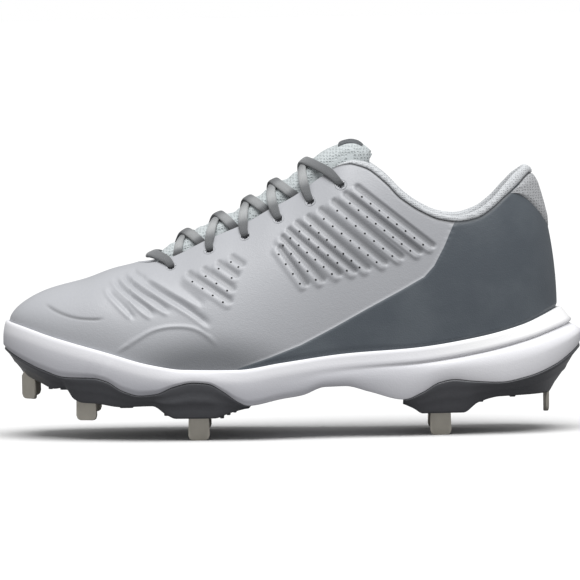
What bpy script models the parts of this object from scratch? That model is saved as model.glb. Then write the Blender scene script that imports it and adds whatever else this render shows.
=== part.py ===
"""Low-cut baseball cleat for the left foot, with metal spikes.

Toe towards -X, outer (lateral) side towards -Y, +Z up, in metres. The floor is z = 0, and the
four spikes at the ball and under the front of the heel stand on it. The last, the sole and
everything on them are worked out from the sizes below and from short tables of sections,
whose lengths are shares of those sizes.
"""

import math
from collections import namedtuple

import bmesh
import bpy
import numpy as np
from mathutils import Matrix, Vector

MM = 0.001

# Driving sizes of the last and the upper
UPPER_LENGTH = 283.6 * MM
BALL_WIDTH = 98.0 * MM
INSTEP_HEIGHT = 107.0 * MM
HEEL_HEIGHT = 72.0 * MM
UPPER_WALL = 2.0 * MM
THROAT_GAP = 18.0 * MM
CLEARANCE = 0.3 * MM

# Driving sizes of the sole
SOLE_DEPTH = 55.2 * MM
TOE_FLARE = 3.6 * MM
SIDE_FLARE = 3.4 * MM
HEEL_FLARE = 13.0 * MM
LIP_WALL = 1.8 * MM
HEEL_BAND = 7.8 * MM
GROOVE_DEPTH = 1.1 * MM
GROOVE_RISE = 0.8 * MM
GROOVE_FALL = 0.4 * MM
SPLIT_SETBACK = 0.9 * MM
PLATE_THICKNESS = 3.6 * MM
PLATE_UNDERCUT = 6.6 * MM
PLATE_SKIRT = 1.4 * MM
POD_REACH = 0.46
INSOLE_THICKNESS = 3.5 * MM

# Driving sizes of the spikes
SPIKE_DROP = 11.6 * MM
SPIKE_WIDTH = 11.0 * MM
SPIKE_THICKNESS = 2.0 * MM
SPIKE_BOW = 1.0 * MM
SPIKE_CORNER = 2.6 * MM
SPIKE_ROOT = 3.0 * MM

# Driving sizes of tongue, laces and overlays
TONGUE_THICKNESS = 6.0 * MM
TONGUE_HALF_WIDTH = 26.0 * MM
TONGUE_TUCK_START = 4.0 * MM
TONGUE_TUCK_RUN = 3.0 * MM
LACE_WIDTH = 5.2 * MM
LACE_THICKNESS = 2.2 * MM
LACE_LIFT = 1.1 * MM
LACE_STAGGER = 0.013 * MM
EYELET_RADIUS = 2.6 * MM
EYELET_INSET = 7.5 * MM
OVERLAY_THICKNESS = 0.8 * MM
OVERLAY_GAP = 0.6 * MM
HEEL_TAB_THICKNESS = 1.3 * MM
RIB_HEIGHT = 1.1 * MM

SOLE_LENGTH = TOE_FLARE + UPPER_LENGTH + HEEL_FLARE
SOLE_FRONT = -SOLE_LENGTH / 2
UPPER_FRONT = SOLE_FRONT + TOE_FLARE

# How finely the forms are divided
STATIONS = 37
SOLE_STATIONS = 72
WALL_ROWS = 8

# A row for each section from toe tip to heel: where it leaves the sole on each side (x as a share of
# UPPER_LENGTH, y of BALL_WIDTH), where it reaches the ridge (x of SOLE_LENGTH, y of BALL_WIDTH), how
# full its side and roof are (1 is an ellipse, more is slacker), and how far the flare of toe and heel
# and the plate's undercut reach there.
Section = namedtuple(
    "Section",
    "place lateral_x lateral_y medial_x medial_y ridge_x ridge_y side roof toe heel undercut",
)
SECTIONS = [
    Section("toe tip", 0.000, 0.080, 0.000, 0.080, 0.105, 0.075, 1.00, 1.00, 1.0, 0.00, 1.00),
    Section("toe front", 0.006, -0.022, 0.005, 0.184, 0.108, 0.075, 1.00, 1.00, 1.0, 0.00, 1.00),
    Section("toe corner", 0.025, -0.128, 0.022, 0.288, 0.118, 0.075, 1.00, 0.97, 1.0, 0.00, 0.92),
    Section("little toe", 0.072, -0.256, 0.065, 0.392, 0.139, 0.075, 0.97, 0.93, 1.0, 0.00, 0.70),
    Section("toe joint", 0.150, -0.370, 0.142, 0.465, 0.182, 0.072, 0.95, 0.92, 0.5, 0.00, 0.45),
    Section("before ball", 0.240, -0.446, 0.233, 0.498, 0.252, 0.062, 1.05, 0.95, 0.0, 0.00, 0.34),
    Section("ball", 0.334, -0.486, 0.328, 0.494, 0.336, 0.052, 1.22, 1.00, 0.0, 0.00, 0.32),
    Section("behind ball", 0.429, -0.492, 0.429, 0.446, 0.426, 0.044, 1.24, 1.00, 0.0, 0.00, 0.32),
    Section("waist", 0.527, -0.458, 0.527, 0.378, 0.521, 0.036, 1.12, 1.00, 0.0, 0.00, 0.32),
    Section("instep", 0.632, -0.410, 0.632, 0.328, 0.621, 0.024, 1.00, 1.00, 0.0, 0.02, 0.32),
    Section("ankle", 0.738, -0.378, 0.738, 0.318, 0.716, 0.010, 1.00, 1.00, 0.0, 0.07, 0.32),
    Section("heel front", 0.834, -0.356, 0.834, 0.332, 0.790, 0.000, 1.10, 1.00, 0.0, 0.16, 0.32),
    Section("heel side", 0.914, -0.304, 0.914, 0.296, 0.830, 0.000, 1.30, 1.00, 0.0, 0.36, 0.36),
    Section("heel corner", 0.967, -0.207, 0.967, 0.206, 0.845, 0.000, 1.50, 1.00, 0.0, 0.72, 0.44),
    Section("heel round", 0.994, -0.086, 0.994, 0.086, 0.850, 0.000, 1.62, 1.00, 0.0, 0.97, 0.50),
    Section("heel back", 1.000, 0.000, 1.000, 0.000, 0.850, 0.000, 1.65, 1.00, 0.0, 1.00, 0.52),
]
HALF_TURN = len(SECTIONS) - 1
TOE_SECTIONS = [row.place for row in SECTIONS].index("toe joint")

# Heights along the sole above the ball pods, as shares of SOLE_DEPTH: the midsole's top edge, the bed
# inside it, the line between midsole and plate, and the plate's lowest edge with its pods.
Height = namedtuple("Height", "along share")
LIP = [
    Height(0.000, 0.905), Height(0.030, 0.866), Height(0.090, 0.762), Height(0.183, 0.620),
    Height(0.260, 0.502), Height(0.315, 0.457), Height(0.405, 0.449), Height(0.481, 0.505),
    Height(0.593, 0.578), Height(0.706, 0.614), Height(0.818, 0.703), Height(0.894, 0.806),
    Height(0.950, 0.930), Height(0.972, 0.975), Height(1.000, 1.015),
]
BED = [
    Height(0.000, 0.823), Height(0.030, 0.763), Height(0.090, 0.641), Height(0.183, 0.493),
    Height(0.260, 0.408), Height(0.300, 0.392), Height(0.345, 0.390), Height(0.395, 0.345),
    Height(0.481, 0.378), Height(0.593, 0.451), Height(0.706, 0.487), Height(0.818, 0.576),
    Height(0.894, 0.685), Height(0.950, 0.818), Height(0.972, 0.873), Height(1.000, 0.923),
]
SPLIT = [
    Height(0.000, 0.654), Height(0.034, 0.551), Height(0.071, 0.460), Height(0.112, 0.392),
    Height(0.160, 0.386), Height(0.183, 0.355), Height(0.210, 0.268), Height(0.240, 0.223),
    Height(0.266, 0.236), Height(0.297, 0.303), Height(0.330, 0.342), Height(0.356, 0.330),
    Height(0.382, 0.254), Height(0.409, 0.150), Height(0.424, 0.118), Height(0.481, 0.174),
    Height(0.516, 0.203), Height(0.555, 0.275), Height(0.590, 0.278), Height(0.631, 0.221),
    Height(0.690, 0.141), Height(0.721, 0.203), Height(0.751, 0.295), Height(0.777, 0.321),
    Height(0.807, 0.303), Height(0.856, 0.286), Height(0.901, 0.328), Height(0.950, 0.428),
    Height(0.979, 0.529), Height(1.000, 0.620),
]
KEEL = [
    Height(0.000, 0.480), Height(0.034, 0.388), Height(0.064, 0.324), Height(0.090, 0.270),
    Height(0.109, 0.285), Height(0.124, 0.180), Height(0.140, 0.146), Height(0.161, 0.141),
    Height(0.206, 0.109), Height(0.260, 0.118), Height(0.286, 0.030), Height(0.300, 0.000),
    Height(0.366, 0.000), Height(0.394, 0.050), Height(0.430, 0.090), Height(0.680, 0.100),
    Height(0.706, 0.050), Height(0.722, 0.000), Height(0.792, 0.000), Height(0.818, 0.092),
    Height(0.856, 0.141), Height(0.930, 0.146), Height(0.960, 0.146), Height(1.000, 0.300),
]
MEDIAL_ARCH = [
    Height(0.00, 0.00), Height(0.43, 0.00), Height(0.55, 0.10), Height(0.67, 0.00), Height(1.00, 0.00),
]

# The ridge over the foot, as a share of INSTEP_HEIGHT above the lip of the sole at the same place
RIDGE = [
    Height(0.105, 0.245), Height(0.154, 0.318), Height(0.196, 0.396), Height(0.237, 0.460),
    Height(0.260, 0.500), Height(0.308, 0.586), Height(0.363, 0.678), Height(0.413, 0.742),
    Height(0.458, 0.795), Height(0.510, 0.850), Height(0.552, 0.922), Height(0.597, 0.998),
    Height(0.620, 1.018), Height(0.660, 1.055), Height(0.720, 1.110), Height(0.790, 1.120),
    Height(0.850, 1.110),
]
# The collar's edge, as a share of HEEL_HEIGHT above the lip where the section leaves the sole
COLLAR = [
    Height(0.000, 3.000), Height(0.560, 1.560), Height(0.600, 1.420), Height(0.640, 1.310),
    Height(0.664, 1.230), Height(0.690, 1.115), Height(0.722, 1.005), Height(0.760, 0.915),
    Height(0.795, 0.880), Height(0.825, 0.895), Height(0.855, 0.945), Height(0.885, 1.010),
    Height(0.915, 1.045), Height(0.945, 1.040), Height(0.962, 0.995),
]
# Half the throat's width as a share of THROAT_GAP, and half the tongue's as a share of its own
THROAT = [
    Height(0.236, 0.00), Height(0.240, 0.34), Height(0.248, 0.60), Height(0.262, 0.84),
    Height(0.285, 1.00), Height(0.400, 1.02), Height(0.500, 1.00), Height(0.620, 1.02),
    Height(0.660, 0.90), Height(0.740, 0.00), Height(0.850, 0.00),
]
THROAT_BASE = THROAT[0].along
TONGUE_TIGHT = 0.270
TONGUE_FREE = 0.284
TONGUE_BEND = 0.592
TONGUE_END = 0.632
TONGUE_SHAPE = [
    Height(0.215, 0.70), Height(0.260, 0.90), Height(0.400, 1.00), Height(0.590, 1.05),
    Height(0.618, 1.00), Height(0.632, 0.80),
]

EYELET_ROWS = [0.300, 0.365, 0.427, 0.486, 0.542, 0.596]
# The sole's stations at which each plate begins and ends
Plate = namedtuple("Plate", "name first_station last_station")
PLATES = [Plate("forefoot_plate", 0, 34), Plate("heel_plate", 47, SOLE_STATIONS)]

# A row for each spike: along as a share of SOLE_LENGTH, across of BALL_WIDTH, its turn in degrees, and
# how far its blade is let into the pod
SpikePlace = namedtuple("SpikePlace", "name along across turn sink")
SPIKES = [
    SpikePlace("spike_toe_lateral", 0.047, -0.045, -52.0, 0.6 * MM),
    SpikePlace("spike_toe_medial", 0.047, 0.205, 52.0, 0.6 * MM),
    SpikePlace("spike_fore_lateral", 0.147, -0.270, -18.0, 2.4 * MM),
    SpikePlace("spike_fore_medial", 0.147, 0.365, 12.0, 2.4 * MM),
    SpikePlace("spike_ball_lateral", 0.339, -0.395, 0.0, 0.0),
    SpikePlace("spike_ball_medial", 0.339, 0.395, 0.0, 0.0),
    SpikePlace("spike_heel_lateral", 0.753, -0.280, 0.0, 0.0),
    SpikePlace("spike_heel_medial", 0.753, 0.240, 0.0, 0.0),
    SpikePlace("spike_heel_rear", 0.938, 0.000, 90.0, 1.6 * MM),
]

# Where the dark heel counter begins and how high it reaches, by share of the wall's height
Front = namedtuple("Front", "height lateral medial")
COUNTER_FRONT = [
    Front(0.00, 7.05, 7.80), Front(0.07, 7.75, 8.50), Front(0.22, 8.60, 9.40),
    Front(0.45, 9.60, 10.20), Front(0.70, 10.35, 10.70), Front(1.00, 10.75, 10.90),
]
Top = namedtuple("Top", "section height")
COUNTER_TOP = [
    Top(10.0, 0.92), Top(11.6, 0.88), Top(12.2, 0.83), Top(12.7, 0.73), Top(13.3, 0.64), Top(14.0, 0.55),
    Top(15.0, 0.51),
]
TAB_GAP_SHARE = 0.045
TAB_TOP_SHARE = 0.985
HEEL_TAB_FRONT = 12.0

# The ribs' upper and lower ends from the front rib to the rear one, by section and share of wall height
RibEnds = namedtuple("RibEnds", "share head head_height foot foot_height")
RIB_ENDS = [
    RibEnds(0.0, 7.78, 0.604, 8.20, 0.276), RibEnds(0.5, 8.48, 0.626, 9.26, 0.349),
    RibEnds(1.0, 9.15, 0.733, 10.34, 0.683),
]
RIB_COUNT = 8
MEDIAL_RIB_DROP = 0.055


def clear_scene():
    """Remove whatever the file holds before the shoe is built."""
    for old in list(bpy.data.objects):
        bpy.data.objects.remove(old, do_unlink=True)


def curve_of(knots, values):
    """A smooth curve through a short table that never overshoots its rows."""
    x = np.array(knots, float)
    y = np.array(values, float)
    step = np.diff(x)
    slope = np.diff(y) / step
    tangent = np.zeros(len(x))
    tangent[0], tangent[-1] = slope[0], slope[-1]
    for i in range(1, len(x) - 1):
        if slope[i - 1] * slope[i] > 0:
            a = 2 * step[i] + step[i - 1]
            b = step[i] + 2 * step[i - 1]
            tangent[i] = (a + b) / (a / slope[i - 1] + b / slope[i])

    def value(at):
        at = np.clip(np.asarray(at, float), x[0], x[-1])
        i = np.clip(np.searchsorted(x, at) - 1, 0, len(x) - 2)
        t = (at - x[i]) / step[i]
        return (
            y[i] * (1 + 2 * t) * (1 - t) ** 2
            + tangent[i] * step[i] * t * (1 - t) ** 2
            + y[i + 1] * t**2 * (3 - 2 * t)
            + tangent[i + 1] * step[i] * t**2 * (t - 1)
        )

    return value


def along_table(rows):
    """A curve of a table's shares along the sole."""
    return curve_of([row.along for row in rows], [row.share for row in rows])


def section_column(name):
    """A curve of one column of SECTIONS by its rows' numbers."""
    return curve_of(range(len(SECTIONS)), [getattr(row, name) for row in SECTIONS])


def closed_curve(points):
    """A closed cubic spline through points, as functions of place and of slope."""
    knots = np.array(points, float)
    n = len(knots)
    system = 4 * np.eye(n) + np.roll(np.eye(n), 1, axis=1) + np.roll(np.eye(n), -1, axis=1)
    slopes = np.linalg.solve(system, 3 * (np.roll(knots, -1, axis=0) - np.roll(knots, 1, axis=0)))

    def place(turn):
        turn = np.asarray(turn, float) % n
        i = np.floor(turn).astype(int) % n
        j = (i + 1) % n
        t = (turn - np.floor(turn))[..., None]
        return (
            knots[i] * (1 + 2 * t) * (1 - t) ** 2
            + slopes[i] * t * (1 - t) ** 2
            + knots[j] * t**2 * (3 - 2 * t)
            + slopes[j] * t**2 * (t - 1)
        )

    return place


def outline_points():
    """The upper's outline at the sole, once round: toe, lateral side, heel, medial side."""
    lateral = [(row.lateral_x, row.lateral_y) for row in SECTIONS]
    medial = [(row.medial_x, row.medial_y) for row in SECTIONS[-2:0:-1]]
    return [(UPPER_FRONT + x * UPPER_LENGTH, y * BALL_WIDTH) for x, y in lateral + medial]


OUTLINE = closed_curve(outline_points())
RIDGE_X = section_column("ridge_x")
RIDGE_Y = section_column("ridge_y")
SIDE = section_column("side")
ROOF = section_column("roof")
TOE_SHARE = section_column("toe")
HEEL_SHARE = section_column("heel")
UNDERCUT = section_column("undercut")
LIP_SHARE = along_table(LIP)
BED_SHARE = along_table(BED)
SPLIT_SHARE = along_table(SPLIT)
KEEL_SHARE = along_table(KEEL)
ARCH_SHARE = along_table(MEDIAL_ARCH)
RIDGE_SHARE = along_table(RIDGE)
COLLAR_SHARE = along_table(COLLAR)
THROAT_SHARE = along_table(THROAT)
TONGUE_SHARE = along_table(TONGUE_SHAPE)


def half_turn(turn):
    """The row of SECTIONS that a place round the outline belongs to, on either side."""
    turn = np.asarray(turn, float) % (2 * HALF_TURN)
    return np.minimum(turn, 2 * HALF_TURN - turn)


def share_along(x):
    return (np.asarray(x) - SOLE_FRONT) / SOLE_LENGTH


def outward(turn):
    """The outline's normal in plan."""
    step = OUTLINE(np.asarray(turn) + 0.01) - OUTLINE(np.asarray(turn) - 0.01)
    step /= np.linalg.norm(step, axis=-1, keepdims=True)
    return np.stack([step[..., 1], -step[..., 0]], axis=-1)


def spread(turn, offset):
    """The outline moved out by offset, as x and y."""
    return OUTLINE(turn) + outward(turn) * np.asarray(offset)[..., None]


def sole_height(share, x, turn=None):
    """Height of one of the sole's long lines over the floor; the medial arch is a little higher."""
    z = SPIKE_DROP + share(share_along(x)) * SOLE_DEPTH
    if turn is not None:
        medial = np.asarray(turn, float) % (2 * HALF_TURN) > HALF_TURN
        z = z + np.where(medial, ARCH_SHARE(share_along(x)), 0.0) * SOLE_DEPTH
    return z


def lip_height(turn):
    return sole_height(LIP_SHARE, OUTLINE(turn)[..., 0])


def bed_height(turn):
    return sole_height(BED_SHARE, OUTLINE(turn)[..., 0])


def flare(turn):
    """How far the midsole stands out past the upper."""
    t = half_turn(turn)
    return SIDE_FLARE + (TOE_FLARE - SIDE_FLARE) * TOE_SHARE(t) + (HEEL_FLARE - SIDE_FLARE) * HEEL_SHARE(t)


def smallest(a, b, blend):
    """The lower of two angles, rounded where they cross."""
    h = np.clip(0.5 + 0.5 * (b - a) / blend, 0, 1)
    return b + (a - b) * h - blend * h * (1 - h)


def ridge_point(turn):
    """The top of each section: its place and the ridge's slope along X there."""
    t = half_turn(turn)
    along = RIDGE_X(t)
    x = SOLE_FRONT + along * SOLE_LENGTH

    def height(share):
        return sole_height(LIP_SHARE, SOLE_FRONT + share * SOLE_LENGTH) + RIDGE_SHARE(share) * INSTEP_HEIGHT

    step = 0.01
    slope = (height(along + step) - height(along)) / (step * SOLE_LENGTH)
    toe_only = np.clip((TOE_SECTIONS - t) / TOE_SECTIONS, 0, 1)
    return x, RIDGE_Y(t) * BALL_WIDTH, height(along), slope * toe_only


def angle_at_height(turn, z):
    """The angle on the section's quarter where it reaches height z."""
    foot = lip_height(turn)
    _, _, top, _ = ridge_point(turn)
    share = (z - foot) / (top - foot)
    inside = np.arcsin(np.clip(share, 0, 1) ** (1 / ROOF(half_turn(turn))))
    return np.where(share >= 1, math.pi / 2 + (share - 1), inside)


def angle_at_width(turn, width):
    """The angle where the lateral side is this far from the ridge in plan; the medial side matches it."""
    t = half_turn(turn)
    whole = np.maximum(np.abs(OUTLINE(t)[..., 1] - RIDGE_Y(t) * BALL_WIDTH), MM)
    return np.arccos(np.clip(width / whole, 0, 1) ** (1 / SIDE(t)))


def edge_angle(turn):
    """Where each section's wall ends: at the ridge, the throat's edge or the collar's."""
    t = half_turn(turn)
    throat = angle_at_width(turn, THROAT_SHARE(RIDGE_X(t)) * THROAT_GAP)
    rise = COLLAR_SHARE(share_along(OUTLINE(turn)[..., 0])) * HEEL_HEIGHT
    collar = angle_at_height(turn, lip_height(turn) + rise)
    return smallest(throat, collar, 0.14)


def on_section(turn, angle):
    """The point of the last's surface at an angle up the section that leaves the sole at turn."""
    t = half_turn(turn)
    foot = OUTLINE(turn)
    foot_z = lip_height(turn)
    top_x, top_y, top_z, slope = ridge_point(turn)
    inward = 1 - np.clip(np.cos(angle), 0, 1) ** SIDE(t)
    upward = np.clip(np.sin(angle), 0, 1) ** ROOF(t)
    x = foot[..., 0] + (top_x - foot[..., 0]) * inward
    y = foot[..., 1] + (top_y - foot[..., 1]) * inward
    z = foot_z + (top_z - foot_z - slope * (top_x - foot[..., 0])) * upward
    return np.stack([x, y, z + slope * (x - foot[..., 0])], axis=-1)


def normal_at(turn, angle):
    step = 1e-3
    around = on_section(turn + step, angle) - on_section(turn - step, angle)
    low = np.clip(angle - step, 0, None)
    rise = on_section(turn, angle + step) - on_section(turn, low)
    n = np.cross(around, rise)
    return n / np.maximum(np.linalg.norm(n, axis=-1, keepdims=True), 1e-12)


def skin(turn, height, offset=0.0):
    """A point of the upper's outside: height 0 at the sole's lip, 1 at the wall's edge."""
    turn, height = np.broadcast_arrays(np.asarray(turn, float), np.asarray(height, float))
    angle = np.maximum(height, 1e-4) * edge_angle(turn)
    return on_section(turn, angle) + normal_at(turn, angle) * np.asarray(offset)[..., None]


def across(along, width, offset=0.0):
    """A point over the ridge: width from it in plan, lateral side negative, offset off the surface."""
    along, width = np.broadcast_arrays(np.asarray(along, float), np.asarray(width, float))
    dense = np.linspace(0, HALF_TURN - 2, 400)
    t = np.interp(along, RIDGE_X(dense), dense)
    turn = np.where(width <= 0, t, 2 * HALF_TURN - t)
    angle = angle_at_width(turn, np.abs(width))
    return on_section(turn, angle) + normal_at(turn, angle) * np.asarray(offset)[..., None]


def material(name, colour, roughness, metallic=0.0):
    made = bpy.data.materials.new(name)
    made.use_nodes = True
    shader = made.node_tree.nodes["Principled BSDF"]
    shader.inputs["Base Color"].default_value = (*colour, 1.0)
    shader.inputs["Roughness"].default_value = roughness
    shader.inputs["Metallic"].default_value = metallic
    made.diffuse_color = (*colour, 1.0)
    return made


def add_object(name, bm, finish):
    """Close off a bmesh as a named object with smooth faces and sharp corners."""
    bmesh.ops.remove_doubles(bm, verts=bm.verts, dist=1e-6)
    bmesh.ops.dissolve_degenerate(bm, edges=bm.edges, dist=1e-6)
    bmesh.ops.recalc_face_normals(bm, faces=bm.faces)
    closed = all(edge.is_manifold for edge in bm.edges)
    if closed and bm.calc_volume(signed=True) < 0:
        bmesh.ops.reverse_faces(bm, faces=bm.faces)
    bmesh.ops.triangulate(bm, faces=bm.faces, quad_method="SHORT_EDGE")
    mesh = bpy.data.meshes.new(name)
    bm.to_mesh(mesh)
    bm.free()
    mesh.shade_smooth()
    mesh.set_sharp_from_angle(angle=math.radians(40))
    mesh.materials.append(finish)
    obj = bpy.data.objects.new(name, mesh)
    bpy.context.scene.collection.objects.link(obj)
    return obj


def loft(rings, closed_start=False, closed_end=False):
    """A bmesh skin over closed sections, one row of points each; an open end gets a face."""
    bm = bmesh.new()
    rows = [[bm.verts.new(point) for point in ring] for ring in rings]
    count = len(rows[0])
    for before, after in zip(rows, rows[1:]):
        for i in range(count):
            j = (i + 1) % count
            bm.faces.new((before[i], before[j], after[j], after[i]))
    if closed_start:
        bm.faces.new(rows[0])
    if closed_end:
        bm.faces.new(rows[-1][::-1])
    return bm


def slab(outside, inside):
    """A closed sheet between two grids of points that share their border's layout."""
    rows, columns = outside.shape[:2]
    rings = []
    for i in range(rows):
        rings.append(np.concatenate([outside[i], inside[i][::-1]]))
    return loft(rings, closed_start=True, closed_end=True)


def section_turns(count):
    """Evenly spaced places from the toe round to the heel."""
    return np.linspace(0, HALF_TURN, count + 1)


def build_upper(finish):
    """The hollow upper: one wall from the sole's cup to the collar and the throat."""
    bm = bmesh.new()
    turns = section_turns(STATIONS)
    for side in ("lateral", "medial"):
        around = turns if side == "lateral" else 2 * HALF_TURN - turns
        heights = np.linspace(0, 1, WALL_ROWS) ** 0.92
        rows = skin(around[:, None], heights[None, :])
        skirt = rows[:, 0].copy()
        skirt[:, 2] = bed_height(around) + 2 * CLEARANCE
        rows = np.concatenate([skirt[:, None], rows], axis=1)
        closes = RIDGE_X(turns) < THROAT_BASE
        x, y, z, _ = ridge_point(around)
        rows[closes, -1] = np.stack([x, y, z], axis=-1)[closes]
        verts = [[bm.verts.new(point) for point in row] for row in rows]
        for before, after in zip(verts, verts[1:]):
            for i in range(len(before) - 1):
                bm.faces.new((before[i], after[i], after[i + 1], before[i + 1]))
    bmesh.ops.remove_doubles(bm, verts=bm.verts, dist=1e-5)
    bmesh.ops.recalc_face_normals(bm, faces=bm.faces)
    upper = add_object("upper", bm, finish)
    outward_first(upper)
    wall = upper.modifiers.new("wall", "SOLIDIFY")
    wall.thickness = UPPER_WALL
    wall.offset = -1
    wall.use_even_offset = True
    holes = upper.modifiers.new("eyelets", "BOOLEAN")
    holes.operation = "DIFFERENCE"
    holes.solver = "EXACT"
    holes.object = eyelet_cutter()
    return upper


def outward_first(obj):
    """Turn an open sheet's faces so that they look away from the shoe's inside."""
    bm = bmesh.new()
    bm.from_mesh(obj.data)
    middle = sum((v.co for v in bm.verts), Vector()) / len(bm.verts)
    votes = sum((f.calc_center_median() - middle).dot(f.normal) * f.calc_area() for f in bm.faces)
    if votes < 0:
        bmesh.ops.reverse_faces(bm, faces=bm.faces)
    bm.to_mesh(obj.data)
    bm.free()


def eyelet_places():
    """Each eyelet's centre and the surface's normal there, both sides."""
    found = []
    for along in EYELET_ROWS:
        width = float(THROAT_SHARE(along)) * THROAT_GAP + EYELET_INSET
        for side in (-1, 1):
            centre = across(along, side * width)
            out = across(along, side * width, MM) - centre
            found.append((centre, out / np.linalg.norm(out)))
    return found


def eyelet_cutter():
    """Short rods through the eyestay, one for each eyelet."""
    bm = bmesh.new()
    for centre, out in eyelet_places():
        turn = Vector(out).to_track_quat("Z", "X").to_matrix().to_4x4()
        bmesh.ops.create_cone(
            bm,
            cap_ends=True,
            segments=8,
            radius1=EYELET_RADIUS,
            radius2=EYELET_RADIUS,
            depth=6 * UPPER_WALL,
            matrix=Matrix.Translation(Vector(centre)) @ turn,
        )
    cutter = add_object("eyelet_cutter", bm, bpy.data.materials[0])
    cutter.hide_render = True
    cutter.display_type = "WIRE"
    return cutter


def side_rings(turn):
    """The midsole's outside at one place, from the cup's rim down to the plate."""
    wide = flare(turn)
    lip_out = CLEARANCE + LIP_WALL + 0.1 * (wide - SIDE_FLARE)
    band_out = lip_out + 0.5 * (wide - lip_out)
    heel = np.clip((half_turn(turn) - 8.5) / 2.5, 0, 1)
    notch = GROOVE_DEPTH * heel * heel * (3 - 2 * heel)
    top = lip_height(turn)
    split = spread(turn, wide - SPLIT_SETBACK)
    split_z = sole_height(SPLIT_SHARE, split[..., 0], turn)
    band_z = np.maximum(top - HEEL_BAND, split_z + 0.45 * (top - split_z))
    offsets = [CLEARANCE, lip_out, band_out, band_out - notch, wide]
    heights = [top, top, band_z + GROOVE_RISE, band_z - GROOVE_FALL, split_z + 0.5 * (band_z - split_z)]
    rings = [np.append(spread(turn, offset), z) for offset, z in zip(offsets, heights)]
    return rings + [np.append(split, split_z)]


def build_midsole(finish):
    """The white cup sole: sections from one rim over the outside and under to the other, then the bed."""
    rings = []
    for t in section_turns(SOLE_STATIONS):
        lateral, medial = side_rings(t), side_rings(2 * HALF_TURN - t)
        beds = []
        for turn in (2 * HALF_TURN - t, t):
            x, y = spread(turn, CLEARANCE)
            beds.append(np.array([x, y, bed_height(turn)]))
        rings.append(lateral + medial[::-1] + beds)
    return add_object("midsole", loft(rings), finish)


def plate_top(x):
    return float(sole_height(SPLIT_SHARE, x)) - CLEARANCE


def plate_foot(x):
    """Height of the plate's lowest face: its pods, and a thin skirt between them."""
    return min(float(sole_height(KEEL_SHARE, x)), plate_top(x) - PLATE_SKIRT)


def plate_ring(t):
    """One section of a plate: outer walls, pod feet, and the recess along the middle."""
    sides = []
    for turn in (t, 2 * HALF_TURN - t):
        wide = float(flare(turn)) - SPLIT_SETBACK
        undercut = float(UNDERCUT(half_turn(turn))) * PLATE_UNDERCUT
        outline = OUTLINE(turn)
        middle = np.array([SOLE_FRONT + RIDGE_X(t) * SOLE_LENGTH, RIDGE_Y(t) * BALL_WIDTH])
        split = spread(turn, wide)
        foot = spread(turn, -undercut)
        wall = spread(turn, 0.45 * wide - 0.55 * undercut)
        inner = outline + (middle - outline) * POD_REACH
        floor = outline + (middle - outline) * (POD_REACH + 0.14)
        top, low = plate_top(split[0]), plate_foot(foot[0])
        wall_z = top + 0.6 * (low - top)
        floor_z = max(plate_foot(floor[0]), plate_top(floor[0]) - PLATE_THICKNESS)
        sides.append([
            (*split, top), (*wall, wall_z), (*foot, low), (*inner, plate_foot(inner[0])), (*floor, floor_z),
        ])
    return np.array(sides[0] + sides[1][::-1])


def build_plate(row, finish):
    """A moulded outsole plate, open for the spikes' roots."""
    turns = section_turns(SOLE_STATIONS)[row.first_station:row.last_station + 1]
    rings = [plate_ring(t) for t in turns]
    bm = loft(rings, closed_start=row.first_station > 0, closed_end=row.last_station < SOLE_STATIONS)
    plate = add_object(row.name, bm, finish)
    for spike in [spike for spike in SPIKES if turns[0] <= spike_section(spike) <= turns[-1]]:
        socket = plate.modifiers.new(spike.name, "BOOLEAN")
        socket.operation = "DIFFERENCE"
        socket.solver = "EXACT"
        socket.object = socket_cutter(spike)
    return plate


def spike_section(row):
    """The section of the sole that a spike stands under."""
    dense = np.linspace(0, HALF_TURN, 200)
    return float(np.interp(row.along, share_along(OUTLINE(dense)[:, 0]), dense))


def spike_frame(row):
    """Where a spike's blade stands: the foot of its pod, turned to follow the sole's edge."""
    x = SOLE_FRONT + row.along * SOLE_LENGTH
    z = float(sole_height(KEEL_SHARE, x)) + row.sink
    place = Matrix.Translation((x, row.across * BALL_WIDTH, z))
    return place @ Matrix.Rotation(math.radians(row.turn), 4, "Z")


def blade_outline(half_width):
    """The blade's outline in its own plane, from root to rounded tip."""
    points = [(-half_width, SPIKE_ROOT), (-half_width, -SPIKE_DROP + SPIKE_CORNER)]
    for step in range(1, 4):
        angle = math.radians(30 * step)
        points.append((
            -half_width + SPIKE_CORNER * (1 - math.cos(angle)),
            -SPIKE_DROP + SPIKE_CORNER * (1 - math.sin(angle)),
        ))
    return points + [(-x, z) for x, z in reversed(points)]


def build_spike(row, finish):
    """One bowed steel blade with its root in the pod's socket."""
    half = SPIKE_WIDTH / 2
    outline = blade_outline(half)
    columns = []
    for share in (-1.0, -0.5, 0.0, 0.5, 1.0):
        x = share * half
        bottom = np.interp(x, [p[0] for p in outline[1:-1]], [p[1] for p in outline[1:-1]])
        bow = SPIKE_BOW * (1 - share**2) - SPIKE_BOW / 2
        columns.append([
            (x, bow - SPIKE_THICKNESS / 2, bottom), (x, bow + SPIKE_THICKNESS / 2, bottom),
            (x, bow + SPIKE_THICKNESS / 2, SPIKE_ROOT), (x, bow - SPIKE_THICKNESS / 2, SPIKE_ROOT),
        ])
    bm = loft(columns, closed_start=True, closed_end=True)
    bm.transform(spike_frame(row))
    return add_object(row.name, bm, finish)


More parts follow.
